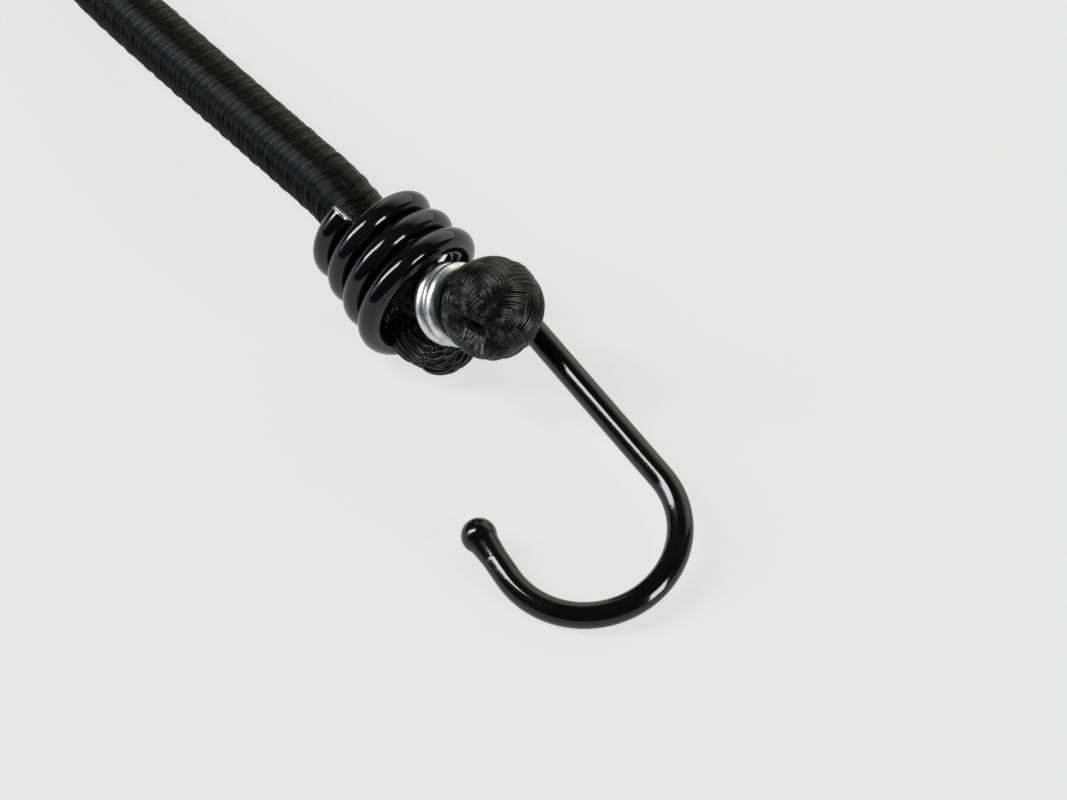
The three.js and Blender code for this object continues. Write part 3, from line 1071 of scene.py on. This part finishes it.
@dataclass(frozen=True)
class Finishes:
    """All finishes of the object, each made once."""

    coating: bpy.types.Material
    bead: bpy.types.Material
    zinc: bpy.types.Material
    yarn: bpy.types.Material
    filament: bpy.types.Material
    frayed: bpy.types.Material
    lining: bpy.types.Material
    rubber: bpy.types.Material

    @staticmethod
    def make() -> "Finishes":
        """Makes all materials.

        Returns:
            The materials.
        """
        return Finishes(
            coating=DippedCoating().build(),
            bead=MouldedBead().build(),
            zinc=ZincPlate().build(),
            yarn=BraidYarn().build(),
            filament=BraidYarn(name="black polyester filaments", tones=Tones("#020202", "#0c0c0c"),
                               specular=0.3, roughness=Span(0.3, 0.7, 0.2, 0.34),
                               streak_mm=2.4).build(),
            # Painted glints: the black frayed filament ends get pale grey streaks that stand for light
            # catching them
            frayed=BraidYarn(name="frayed filament ends", tones=Tones("#1d1d1e", "#a5a5a2"),
                             streaks=1.0, streak_mm=1.5, streak_depth_mm=0.01).build(),
            lining=GapShadeLining().build(),
            rubber=LatexRubber().build(),
        )


# Sub-assemblies


@dataclass(frozen=True)
class Workshop:
    """What the pieces of every sub-assembly are made with."""

    sweeps: SweepTree
    finishes: Finishes


@dataclass
class Hook:
    """The wire hook of one end: coil, turn, shank, bend and tip with its bead."""

    shop: Workshop
    place: EndPlace
    wire_d: float = 4.0
    coil_r_rear: float = 7.4
    coil_flare: float = 2.35
    coil_pitch: float = 4.75
    coil_turns: float = 3.55
    coil_end_deg: float = -51.0
    shank_tuck: float = 0.45  # by which the shank lies further in than the coil's mouth
    turn_length: float = 9.0
    turn_ease: float = 5.6
    shank_length: float = 45.3
    bend_r: float = 13.7
    bend_turn_in_deg: float = 5.0
    tip_run: float = 3.7
    tip_share: float = 0.7  # of the wire's thickness that is left inside the bead
    bead_r: float = 2.7
    bead_back: float = 4.5  # from the end of the tip's run to the bead's middle
    bead_open_deg: float = 122.0  # from the tip to where the ball runs into its neck
    neck_end: float = -5.6  # of the bead, from its middle
    neck_under: float = 0.02  # how far the neck ends under the coating
    cut_round: float = 0.5  # radius of the coating over the edge of the cut
    sharp_deg: float = 35.0  # from which an edge is left sharp
    wire_sides: int = 36
    bead_sides: int = 40
    coil_steps: int = 56  # in one turn of the coil
    run_steps: int = 25  # in the turn and in the shank
    bend_steps: int = 72
    tip_steps: int = 7
    cut_steps: int = 7
    ball_steps: int = 21
    neck_steps: int = 13

    @property
    def shank_y(self) -> float:
        """How far the shank lies from the coil's axis."""
        return self.coil_r_rear + self.coil_flare - self.shank_tuck

    @property
    def bend_angle(self) -> float:
        """Angle from the shank round the bend to the tip."""
        return math.pi + math.radians(self.bend_turn_in_deg)

    @property
    def tip_way(self) -> np.ndarray:
        """The way the tip points."""
        return np.array([math.cos(self.bend_angle), -math.sin(self.bend_angle), 0.0])

    def line(self) -> np.ndarray:
        """Works out the middle line of the wire.

        Returns:
            Points from the wire's cut end to where its tip goes into the bead.
        """
        share = np.linspace(0, 1, int(self.coil_turns * self.coil_steps))
        end = math.radians(self.coil_end_deg)
        angle = end - math.tau * self.coil_turns * (1 - share)
        radius = self.coil_r_rear + self.coil_flare * share
        coil = np.column_stack([-self.coil_pitch * self.coil_turns * (1 - share),
                                radius * np.cos(angle), radius * np.sin(angle)])
        turn_end = np.array([self.turn_length, self.shank_y, 0.0])
        leaving = coil[-1] + self.turn_ease * np.array([0.0, -math.sin(end), math.cos(end)])
        arriving = turn_end - self.turn_ease * X_AXIS
        t = np.linspace(0, 1, self.run_steps + 1)[1:, None]
        turn = ((1 - t) ** 3 * coil[-1] + 3 * (1 - t) ** 2 * t * leaving
                + 3 * (1 - t) * t**2 * arriving + t**3 * turn_end)
        reach = np.linspace(self.turn_length, self.shank_length, self.run_steps + 1)[1:]
        shank = np.column_stack([reach, np.full_like(reach, self.shank_y), np.zeros_like(reach)])
        round_it = np.linspace(0, self.bend_angle, self.bend_steps + 1)[1:]
        bend = np.column_stack([self.shank_length + self.bend_r * np.sin(round_it),
                                self.shank_y - self.bend_r + self.bend_r * np.cos(round_it),
                                np.zeros_like(round_it)])
        run = np.linspace(0, self.tip_run, self.tip_steps + 1)[1:, None]
        return np.vstack([coil, turn, shank, bend, bend[-1] + run * self.tip_way])

    def wire(self) -> None:
        """Makes the wire, rounded over its cut end."""
        line = self.line()
        edge = np.radians(np.linspace(0, 90, self.cut_steps + 1))
        in_from_cut = self.cut_round * (1 - np.cos(edge))[:, None]
        starts = line[0] + unit(line[1] - line[0]) * in_from_cut
        in_bead = np.array([[self.bead_back - self.bead_r], [self.bead_back]])
        ends = line[-1] + self.tip_way * in_bead
        line = np.vstack([starts, line[2:], ends])
        size = np.ones(len(line))
        size[: len(starts)] = 1 - 2 * self.cut_round * (1 - np.sin(edge)) / self.wire_d
        size[-len(ends) :] = self.tip_share
        side = self.place.turn(unit(line[0] * (Y_AXIS + Z_AXIS)))
        form = TubeForm(self.place.place(line), size, side)
        lines = Lines()
        lines.add(form.line, form.sides, size)
        section = Section(self.wire_d, self.wire_d, self.wire_sides)
        name = f"{self.place.name}_hook"
        piece = self.shop.sweeps.sweep(name, lines, section, self.shop.finishes.coating)
        piece.data.set_sharp_from_angle(angle=math.radians(self.sharp_deg))
        dress(piece, self.place.hook_body, Slot.WIRE, f"{name}_wire")

    def bead(self) -> None:
        """Makes the bead: a ball that runs out into a thin neck over the wire."""
        way = self.tip_way
        middle = self.line()[-1] + way * self.bead_back
        polar = np.linspace(0, math.radians(self.bead_open_deg), self.ball_steps + 1)[1:]
        profile = [(self.bead_r * math.cos(p), self.bead_r * math.sin(p)) for p in polar]
        join_x, join_r = profile[-1]
        end_r = self.wire_d / 2 - self.neck_under
        for t in np.linspace(0, 1, self.neck_steps + 1)[1:]:
            profile.append((join_x + (self.neck_end - join_x) * t,
                            end_r + (join_r - end_r) * (1 - t) ** 2))
        ring = circle(self.bead_sides, Z_AXIS, np.cross(way, Z_AXIS))
        rings = np.array([self.place.place(middle + x * way + r * ring) for x, r in profile])
        piece = ring_mesh(f"{self.place.name}_tip_bead", [rings], self.shop.finishes.bead)
        dress(piece, self.place.hook_body, Slot.BEAD, f"{self.place.name}_hook_bead")

    def build(self) -> None:
        """Makes the hook's pieces."""
        self.wire()
        self.bead()


@dataclass(frozen=True)
class Tuft:
    """Frayed filament ends in the knob's cleft. A pair gives the limits of a random size."""

    ends: int = 90
    steps: int = 6
    filament: Section = Section(width=0.15, thickness=0.11, sides=4)
    tip_share: float = 0.6  # of its thickness that a filament has at its tip
    root_depth: float = 1.1  # under the knob's round
    root_along: tuple[float, float] = (-1.2, 2.2)  # along the cleft
    root_across: tuple[float, float] = (-1.7, -0.7)  # across it
    rise: tuple[float, float] = (0.5, 1.0)  # out of the cleft
    lean: tuple[float, float] = (0.1, 0.7)  # away from it
    skew: tuple[float, float] = (-0.5, 0.6)  # along it
    droop_aside: tuple[float, float] = (0.1, 0.6)
    droop_back: tuple[float, float] = (0.0, 0.4)
    length: tuple[float, float] = (1.0, 1.7)

    def lay(self, form: KnobForm, place: EndPlace) -> Lines:
        """Lays the filament ends.

        Args:
            form: The knob, in millimetres of the end's frame.
            place: Where the end is.

        Returns:
            A line for each filament.
        """
        dice = np.random.default_rng(SEED)
        out, run = form.to_cleft, form.cleft_run
        across = np.cross(out, run)
        t = np.linspace(0, 1, self.steps)[:, None]
        size = np.linspace(1.0, self.tip_share, self.steps)
        lines = Lines()
        for _ in range(self.ends):
            root = (form.middle + out * (form.radius - self.root_depth)
                    + run * dice.uniform(*self.root_along) + across * dice.uniform(*self.root_across))
            way = (dice.uniform(*self.rise) * out - dice.uniform(*self.lean) * across
                   + dice.uniform(*self.skew) * run)
            droop = -dice.uniform(*self.droop_aside) * across - dice.uniform(*self.droop_back) * out
            line = root + dice.uniform(*self.length) * (t * way + t**2 * droop)
            lines.add(place.place(line), place.turn(run), size)
        return lines


@dataclass
class CordEnd:
    """One end of the cord: neck in the coil, bend, waist under the clip, knob and slack fold."""

    shop: Workshop
    place: EndPlace
    hook: Hook
    cord: CordSize = CordSize()
    clearance: float = 0.3
    stub_turn_deg: float = 42.0  # from the coil's axis to the stub that leaves its mouth
    stub_bend: float = 3.8
    waist_r: float = 3.9
    waist_short: float = 4.0  # by which the waist ends before the knob's middle
    neck_steps: int = 11  # in each of its neck, bend and waist
    knob_r: float = 7.9
    knob_braid_half: float = 0.4  # from the middle of the knob's braid to its outside
    knob_lining_under: float = 0.3
    clip_from_mouth: float = 3.16
    clip_wire_d: float = 2.2
    clip_gap: float = 0.3
    clip_turns: float = 1.9
    clip_start_deg: float = 35.0
    clip_end_share: float = 0.72  # of the wire's thickness that its chamfered ends have
    clip_sides: int = 24
    clip_steps: int = 72  # in one turn
    clip_sharp_deg: float = 40.0  # from which an edge is left sharp
    rubber_under: float = 0.7  # from the middle of the braid to the rubber
    knob_rubber_under: float = 1.0
    cleft: tuple[float, float, float] = (0.378, -0.756, 0.534)
    cleft_run: tuple[float, float, float] = (0.769, 0.598, -0.226)
    fold_r: float = 3.6
    fold_end_share: float = 0.86  # of its radius that the fold has at its ends
    fold_fullness: float = 0.7  # below 1 for a fold that swells soon after its ends
    fold_step: float = 0.4
    fold_route: tuple[tuple[float, float, float], ...] = (
        (-4.0, -2.2, -2.2),
        (1.6, -4.4, -3.2),
        (3.6, -3.4, -4.6),
        (5.5, -2.4, -5.2),
        (6.2, -0.4, -4.2),
        (5.6, 1.6, -1.6),
    )
    neck_braid: Braid = Braid()
    fold_braid: Braid = Braid(
        carriers=36,
        bundles=1,
        bundle=Section(width=0.58, thickness=0.34, sides=6),
        crown=0.0,
        lay_deg=14.0,
        rise=0.2,
        steps_per_wave=6,
        uneven=0.06,
    )
    knob_braid: KnobBraid = KnobBraid()
    tuft: Tuft = Tuft()

    @property
    def clip_r(self) -> float:
        """Radius of the clip at the middle of its wire."""
        return self.waist_r + self.clearance + self.clip_wire_d / 2

    @property
    def clip_length(self) -> float:
        """Length of the clip along the stub, at the middle of its wire."""
        return (self.clip_wire_d + self.clip_gap) * self.clip_turns

    @property
    def clip_at(self) -> float:
        """Distance of the clip's middle from the mouth, along the stub."""
        return self.clip_from_mouth + self.clip_length / 2 + self.clip_wire_d / 2

    @property
    def knob_back(self) -> float:
        """Distance of the knob's flat back from its middle, where it is as wide as the clip."""
        return math.sqrt(self.knob_r**2 - (self.clip_r + self.clip_wire_d / 2) ** 2)

    @property
    def knob_at(self) -> float:
        """Distance of the knob's middle from the mouth, along the stub."""
        front = self.clip_at + self.clip_length / 2 + self.clip_wire_d / 2
        return front + self.clearance + self.knob_back

    @property
    def stub(self) -> np.ndarray:
        """Finds the way the stub points, where the knob rests against the side of the shank.

        Returns:
            The direction.
        """
        turn = math.radians(self.stub_turn_deg)
        out = self.knob_at * math.sin(turn)
        apart = self.knob_r + self.hook.wire_d / 2 + self.clearance
        shank_y = self.hook.shank_y
        round_it = math.acos((shank_y**2 + out**2 - apart**2) / (2 * shank_y * out))
        return np.array([math.cos(turn), math.sin(turn) * math.cos(round_it),
                         math.sin(turn) * math.sin(round_it)])

    def neck_form(self) -> TubeForm:
        """Works out the cord from inside the coil, round the bend, to the knob's back.

        Returns:
            The tube at the middle of the braid.
        """
        points = self.neck_steps + 1
        t = np.linspace(0, 1, points)
        inside = np.linspace(self.cord.joint_x, -self.stub_bend, points)[:-1]
        neck = np.outer(inside, X_AXIS)
        bend = (np.outer((1 - t) ** 2, -self.stub_bend * X_AXIS)
                + np.outer(t**2, self.stub * self.stub_bend))
        outside = np.linspace(self.stub_bend, self.knob_at - self.waist_short, points)[1:]
        waist = np.outer(outside, self.stub)
        line = np.vstack([neck, bend, waist])
        ease = np.concatenate([np.zeros(self.neck_steps), t, np.ones(self.neck_steps)])
        radius = self.cord.radius + (self.waist_r - self.cord.radius) * ease - self.cord.braid_half
        return TubeForm(self.place.place(line), radius * MM, self.place.axes[1])

    def fold_form(self) -> TubeForm:
        """Works out the slack fold of cord that bulges out below the clip.

        Returns:
            The tube at the middle of the braid.
        """
        line = smooth_line(np.array(self.fold_route), self.fold_step)
        swell = np.sin(math.pi * np.linspace(0, 1, len(line))) ** self.fold_fullness
        share = self.fold_end_share + (1 - self.fold_end_share) * swell
        radius = self.fold_r * share - self.cord.braid_half
        return TubeForm(self.place.place(line), radius * MM, self.place.axes[1])

    def knob_form(self) -> KnobForm:
        """Works out the knob.

        Returns:
            The knob at the middle of its braid, in the end's own frame.
        """
        to_cleft = unit(np.array(self.cleft))
        run = np.array(self.cleft_run)
        return KnobForm(
            middle=self.stub * self.knob_at,
            radius=self.knob_r - self.knob_braid_half,
            back=self.knob_back - self.cord.braid_half,
            from_clip=-self.stub,
            to_cleft=to_cleft,
            cleft_run=unit(run - to_cleft * (run @ to_cleft)),
        )

    def braids(self) -> None:
        """Makes the yarns of the neck, fold and knob, each way in a piece of its own."""
        yarn, filament = self.shop.finishes.yarn, self.shop.finishes.filament
        for family in Family:
            neck = self.neck_braid.lay(self.neck_form(), family)
            fold = self.fold_braid.lay(self.fold_form(), family)
            knob = self.knob_braid.lay(self.knob_form(), family, self.place)
            for part, lines, braid, finish in (
                ("neck", neck, self.neck_braid, yarn),
                ("fold", fold, self.fold_braid, filament),
                ("knob", knob, self.knob_braid, filament),
            ):
                name = f"{self.place.name}_{part}_braid_{family.name.lower()}"
                piece = self.shop.sweeps.sweep(name, lines, braid.bundle, finish)
                dress(piece, self.place.cord_body, Slot.BRAID, f"{self.place.name}_sheath_end")

    def lining(self) -> None:
        """Makes the dark matt sheet under the yarns: the black braid below them, and painted shade in
        the gaps.
        """
        under, sides = self.cord.lining_under, self.cord.lining_sides
        knob = self.knob_form().rings(self.knob_lining_under, rows=40, sides=64)
        stacks = [self.neck_form().rings(under, sides, step_mm=0.5),
                  self.fold_form().rings(under, sides, self.fold_step),
                  np.array([self.place.place(ring) for ring in knob])]
        piece = ring_mesh(f"{self.place.name}_sheath_lining", stacks, self.shop.finishes.lining)
        dress(piece, self.place.cord_body, Slot.BRAID, f"{self.place.name}_sheath_end")

    def rubber(self) -> None:
        """Makes the crushed ends of the rubber strands inside the knob and waist."""
        knob = self.knob_form().rings(self.knob_rubber_under, rows=20, sides=32)
        stacks = [self.neck_form().rings(self.rubber_under, sides=24, step_mm=1.5),
                  np.array([self.place.place(ring) for ring in knob])]
        piece = ring_mesh(f"{self.place.name}_crushed_rubber", stacks, self.shop.finishes.rubber)
        dress(piece, self.place.cord_body, Slot.RUBBER, f"{self.place.name}_rubber_tail")

    def clip(self) -> None:
        """Makes the two-turn wire clip with chamfered cut ends."""
        across = unit(np.cross(Z_AXIS, self.stub))
        over = np.cross(self.stub, across)
        share = np.linspace(0, 1, int(self.clip_turns * self.clip_steps))
        angle = math.radians(self.clip_start_deg) + math.tau * self.clip_turns * share
        side = np.cos(angle)[:, None] * across + np.sin(angle)[:, None] * over
        line = (self.stub * self.clip_at + np.outer(self.clip_length * (share - 0.5), self.stub)
                + self.clip_r * side)
        size = np.ones(len(line))
        size[[0, -1]] = self.clip_end_share
        lines = Lines()
        lines.add(self.place.place(line), self.place.turn(side), size)
        section = Section(self.clip_wire_d, self.clip_wire_d, self.clip_sides)
        name = f"{self.place.name}_clamp_ring"
        piece = self.shop.sweeps.sweep(name, lines, section, self.shop.finishes.zinc)
        piece.data.set_sharp_from_angle(angle=math.radians(self.clip_sharp_deg))
        dress(piece, self.place.cord_body, Slot.ZINC, f"{self.place.name}_clip")

    def frayed_ends(self) -> None:
        """Makes the filament ends that poke out of the cleft."""
        lines = self.tuft.lay(self.knob_form(), self.place)
        name = f"{self.place.name}_frayed_ends"
        frayed = self.shop.finishes.frayed
        piece = self.shop.sweeps.sweep(name, lines, self.tuft.filament, frayed)
        dress(piece, self.place.cord_body, Slot.BRAID)

    def build(self) -> None:
        """Makes the pieces of this end."""
        self.braids()
        self.lining()
        self.rubber()
        self.clip()
        self.frayed_ends()


@dataclass
class FreeCord:
    """The cord between the two coils: braided sheath, its inside and the rubber strands."""

    shop: Workshop
    near: EndPlace
    cord: CordSize = CordSize()
    braid: Braid = Braid()
    neck_rear: float = -19.46  # where the cord leaves the coil
    step: float = 0.5  # along the line
    lining_step: float = 0.8
    bunching: float = 0.04  # by which the relaxed sheath swells and narrows
    bunch_lengths: tuple[float, float] = (2.6, 4.3)  # from one swelling to the next
    strand_d: float = 1.28
    strand_gap: float = 0.25
    strand_rings: int = 2
    strand_sides: int = 8
    strand_points: int = 120
    # Points of the route, near half, from behind the coil to the middle: x and z
    route: tuple[tuple[float, float], ...] = (
        (68.1, 14.12),
        (65.85, 14.25),
        (63.6, 14.07),
        (57.0, 13.07),
        (52.0, 12.32),
        (45.0, 11.26),
        (38.0, 10.21),
        (31.0, 9.17),
        (24.0, 8.14),
        (17.0, 7.15),
        (11.0, 6.36),
        (5.0, 5.72),
    )
    route_middle: tuple[float, float] = (0.0, 5.5)

    def line(self) -> np.ndarray:
        """Works out the middle line of the cord.

        Returns:
            Points in metres, from inside the far coil to inside the near one.
        """
        coil = self.near.place(np.outer([self.cord.joint_x, self.neck_rear], X_AXIS))
        half = [*coil, *(MM * np.array([x, 0.0, z]) for x, z in self.route)]
        far = [np.array([-p[0], -p[1], p[2]]) for p in half]
        middle = MM * np.array([self.route_middle[0], 0.0, self.route_middle[1]])
        return smooth_line(np.array([*far, middle, *half[::-1]]), self.step * MM)

    def form(self) -> TubeForm:
        """Works out the tube on which the braid lies.

        Returns:
            The tube, with slight swellings.
        """
        line = self.line()
        at = np.arange(len(line)) * self.step
        bunched = sum(np.sin(math.tau * at / length) for length in self.bunch_lengths)
        radius = (self.cord.radius - self.cord.braid_half + self.bunching * bunched) * MM
        return TubeForm(line, radius, Y_AXIS)

    def stretch(self, piece: bpy.types.Object) -> bpy.types.Object:
        """Bakes a piece's placement into its mesh.

        Args:
            piece: The piece.

        Returns:
            The same piece.
        """
        near = self.near.place(self.neck_rear * X_AXIS)
        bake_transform(piece)
        return piece

    def strand_places(self) -> list[tuple[float, float]]:
        """Packs the strands in the section: one, then rings of six and twelve.

        Returns:
            Places across and over the cord's middle.
        """
        step = self.strand_d + self.strand_gap
        places = [(0.0, 0.0)]
        corners = [(math.cos(k * math.pi / 3), math.sin(k * math.pi / 3)) for k in range(7)]
        for ring in range(1, self.strand_rings + 1):
            for (a, b), (c, d) in zip(corners[:-1], corners[1:]):
                for k in range(ring):
                    u, v = a + (c - a) * k / ring, b + (d - b) * k / ring
                    places.append((ring * step * u, ring * step * v))
        return places

    def rubber(self) -> bpy.types.Object:
        """Makes the bundle of rubber strands.

        Returns:
            The piece.
        """
        form = self.form()
        s = np.linspace(0, form.length, self.strand_points)
        lines = Lines()
        for u, v in self.strand_places():
            lift = math.hypot(u, v) * MM - form.radius[0]
            points, outward = form.surface(s, np.full_like(s, math.atan2(v, u)), lift)
            lines.add(points, outward, 1.0)
        section = Section(self.strand_d, self.strand_d, self.strand_sides)
        rubber = self.shop.finishes.rubber
        piece = self.shop.sweeps.sweep("rubber_strands", lines, section, rubber)
        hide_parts(*(n for n in frame["nodes"] if n.startswith("rubber_strand_")))
        return self.stretch(piece)

    def build(self) -> None:
        form = self.form()
        for family in Family:
            lines = self.braid.lay(form, family)
            name = f"cord_braid_{family.name.lower()}"
            yarn = self.shop.finishes.yarn
            piece = self.shop.sweeps.sweep(name, lines, self.braid.bundle, yarn)
            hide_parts("cord_sheath")
            self.stretch(piece)
        # A dark matt sheet under the yarns: the black braid below them, and painted shade in the gaps
        rings = form.rings(self.cord.lining_under, self.cord.lining_sides, self.lining_step)
        lining = ring_mesh("cord_lining", [rings], self.shop.finishes.lining)
        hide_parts("cord_sheath")
        self.stretch(lining)
        self.rubber()


# Studio


@dataclass
class Panel:
    """A soft light panel, placed by its direction from the object."""

    name: str
    azimuth_deg: float  # counted from +X towards +Y
    elevation_deg: float
    distance_m: float
    width_m: float
    height_m: float
    radiance: float
    colour: str = "#ffffff"
    top_share: float = 1.0  # radiance at the upper edge, as a share of the lower half's
    change_from: float = 0.45  # share of the height from which the radiance changes

    def build(self, aim: Vector) -> None:
        """Puts the panel into the scene.

        Args:
            aim: Point that the panel faces.
        """
        az, el = math.radians(self.azimuth_deg), math.radians(self.elevation_deg)
        away = Vector((math.cos(az) * math.cos(el), math.sin(az) * math.cos(el), math.sin(el)))
        lamp = bpy.data.lights.new(self.name, "AREA")
        lamp.shape = "RECTANGLE"
        lamp.size, lamp.size_y = self.width_m, self.height_m
        lamp.energy = self.radiance * math.pi * self.width_m * self.height_m
        lamp.color = srgb(self.colour)[:3]
        if self.top_share != 1:
            self.change_upwards(lamp)
        holder = bpy.data.objects.new(self.name, lamp)
        holder.location = aim + self.distance_m * away
        holder.rotation_euler = (-away).to_track_quat("-Z", "Y").to_euler()
        holder.visible_camera = False
        bpy.context.scene.collection.objects.link(holder)

    def change_upwards(self, lamp: bpy.types.Light) -> None:
        """Lets the panel grow dimmer or brighter over its upper half.

        Args:
            lamp: The panel's lamp.
        """
        lamp.use_nodes = True
        tree = lamp.node_tree
        place = add_node(tree, "ShaderNodeNewGeometry")["Parametric"]
        height = add_node(tree, "ShaderNodeSeparateXYZ", {}, {0: place})["Y"]
        change = Span(self.change_from, 1.0, 1.0, self.top_share)
        share = add_node(tree, "ShaderNodeMapRange", {"interpolation_type": "SMOOTHSTEP"},
                         change.of(height))
        tree.links.new(share[0], tree.nodes["Emission"].inputs["Strength"])


@dataclass
class Studio:
    """Pale floor and low backdrop, soft panels and the camera."""

    near: EndPlace
    paper: str = "#e4e4e4"
    bounce: str = "#787878"  # what the paper gives back to matt surfaces
    shadow_share: float = 0.11  # of the floor's brightness that shadows can take away
    floor_m: float = 3.0  # radius
    floor_rings: tuple[float, ...] = (0.02, 0.3, 0.7, 1.0)  # shares of the radius
    floor_sides: int = 96
    backdrop_m: float = 0.02
    ambient: float = 0.06
    ambient_colour: str = "#ffffff"
    lit_x: float = 20.0  # ahead of the near coil's mouth, where the panels aim
    azimuth_deg: float = 52.9  # of the camera, counted from -Y towards +X
    elevation_deg: float = 51.5
    distance_mm: float = 823.0
    px_per_mm: float = 6.645  # at that distance
    mouth_px: tuple[float, float] = (429.1, 301.3)  # of the near coil, in the photograph
    sensor_mm: float = 36.0
    sight_m: float = 20.0
    panels: tuple[Panel, ...] = (
        Panel("left_panel", azimuth_deg=-128.0, elevation_deg=46.5, distance_m=1.3,
              width_m=0.36, height_m=0.98, radiance=17.5),
        Panel("low_left_panel", azimuth_deg=-126.5, elevation_deg=16.0, distance_m=1.3,
              width_m=0.42, height_m=0.5, radiance=2.0, colour="#e6eeff", top_share=2.0),
        Panel("right_panel", azimuth_deg=17.0, elevation_deg=19.0, distance_m=1.3,
              width_m=0.36, height_m=0.8, radiance=17.0),
        Panel("back_wall", azimuth_deg=115.0, elevation_deg=29.0, distance_m=1.6,
              width_m=2.9, height_m=1.6, radiance=1.45, colour="#fbfded", top_share=0.25),
    )

    def paper_finish(self) -> bpy.types.Material:
        """Makes paper that looks evenly pale to the eye and in reflections, and keeps a soft shadow.

        Returns:
            The finished material.
        """
        made = Material("pale studio paper")
        light = srgb(self.paper)
        rays = made.add("ShaderNodeLightPath")
        seen = made.add("ShaderNodeMath", {"operation": "ADD"},
                        {0: rays["Is Camera Ray"], 1: rays["Is Glossy Ray"]})
        seen = made.add("ShaderNodeMath", {"operation": "ADD", "use_clamp": True},
                        {0: seen[0], 1: rays["Is Transmission Ray"]})
        glow = made.add("ShaderNodeEmission", {},
                        {"Color": light, "Strength": 1 - self.shadow_share})
        shade = [c * self.shadow_share for c in light[:3]] + [1.0]
        soft = made.add("ShaderNodeBsdfDiffuse", {}, {"Color": shade})
        both = made.add("ShaderNodeAddShader", {}, {0: glow[0], 1: soft[0]})
        plain = made.add("ShaderNodeBsdfDiffuse", {}, {"Color": srgb(self.bounce)})
        mixed = made.add("ShaderNodeMixShader", {}, {0: seen[0], 1: plain[0], 2: both[0]})
        return made.close(mixed[0])

    def stage(self) -> None:
        """Makes the floor, which turns up into a low backdrop all round."""
        ring = circle(self.floor_sides, X_AXIS, Y_AXIS)
        rows = [ring * self.floor_m * share for share in self.floor_rings]
        rows.append(rows[-1] + self.backdrop_m * Z_AXIS)
        shape = bmesh.new()
        corners = [[shape.verts.new(corner) for corner in row] for row in rows]
        shape.faces.new(corners[0])
        for low, high in zip(corners[:-1], corners[1:]):
            for k in range(-1, self.floor_sides - 1):
                shape.faces.new((low[k], high[k], high[k + 1], low[k + 1]))
        mesh = bpy.data.meshes.new("paper_floor")
        shape.to_mesh(mesh)
        shape.free()
        mesh.materials.append(self.paper_finish())
        link_mesh("paper_floor", mesh)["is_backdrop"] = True

    def lights(self) -> None:
        """Makes the panels and the dim room round them."""
        aim = Vector(self.near.place(self.lit_x * X_AXIS))
        for panel in self.panels:
            panel.build(aim)
        world = bpy.data.worlds.new("dim studio")
        bpy.context.scene.world = world
        world.use_nodes = True
        room = world.node_tree.nodes["Background"].inputs
        room["Color"].default_value = srgb(self.ambient_colour)
        room["Strength"].default_value = self.ambient

    def camera(self) -> None:
        """Makes the camera at the photograph's angle, so that the near coil's mouth is in its place."""
        az, el = math.radians(self.azimuth_deg), math.radians(self.elevation_deg)
        away = Vector((math.sin(az) * math.cos(el), -math.cos(az) * math.cos(el), math.sin(el)))
        turn = away.to_track_quat("Z", "Y").to_matrix()
        right, up = turn.col[0], turn.col[1]
        aside = (IMAGE_WIDTH_PX / 2 - self.mouth_px[0]) / self.px_per_mm * MM
        below = (self.mouth_px[1] - IMAGE_HEIGHT_PX / 2) / self.px_per_mm * MM
        mouth = Vector(self.near.place(np.zeros(3)))
        aim = mouth + right * aside + up * below
        lens = bpy.data.cameras.new("camera")
        lens.sensor_width = self.sensor_mm
        lens.lens = self.sensor_mm * self.distance_mm * self.px_per_mm / IMAGE_WIDTH_PX
        lens.clip_end = self.sight_m
        holder = bpy.data.objects.new("camera", lens)
        holder.matrix_world = Matrix.Translation(aim + away * self.distance_mm * MM) @ turn.to_4x4()
        bpy.context.scene.collection.objects.link(holder)
        bpy.context.scene.camera = holder


def main() -> None:
    """Builds the camera, the cord, the hooks, the ends and the studio."""
    logging.basicConfig(level=logging.INFO, format="%(message)s")
    bpy.context.scene.view_settings.view_transform = "Standard"
    near, far = EndPlace("near"), EndPlace("far")
    studio = Studio(near)
    studio.camera()
    shop = Workshop(sweeps=SweepTree(), finishes=Finishes.make())
    FreeCord(shop, near).build()
    for place in (near, far):
        hook = Hook(shop, place)
        hook.build()
        CordEnd(shop, place, hook).build()
    studio.stage()
    studio.lights()
    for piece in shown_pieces():
        LOG.info("%s: %d faces", piece.name, len(piece.data.polygons))


if __name__ == "__main__":
    main()
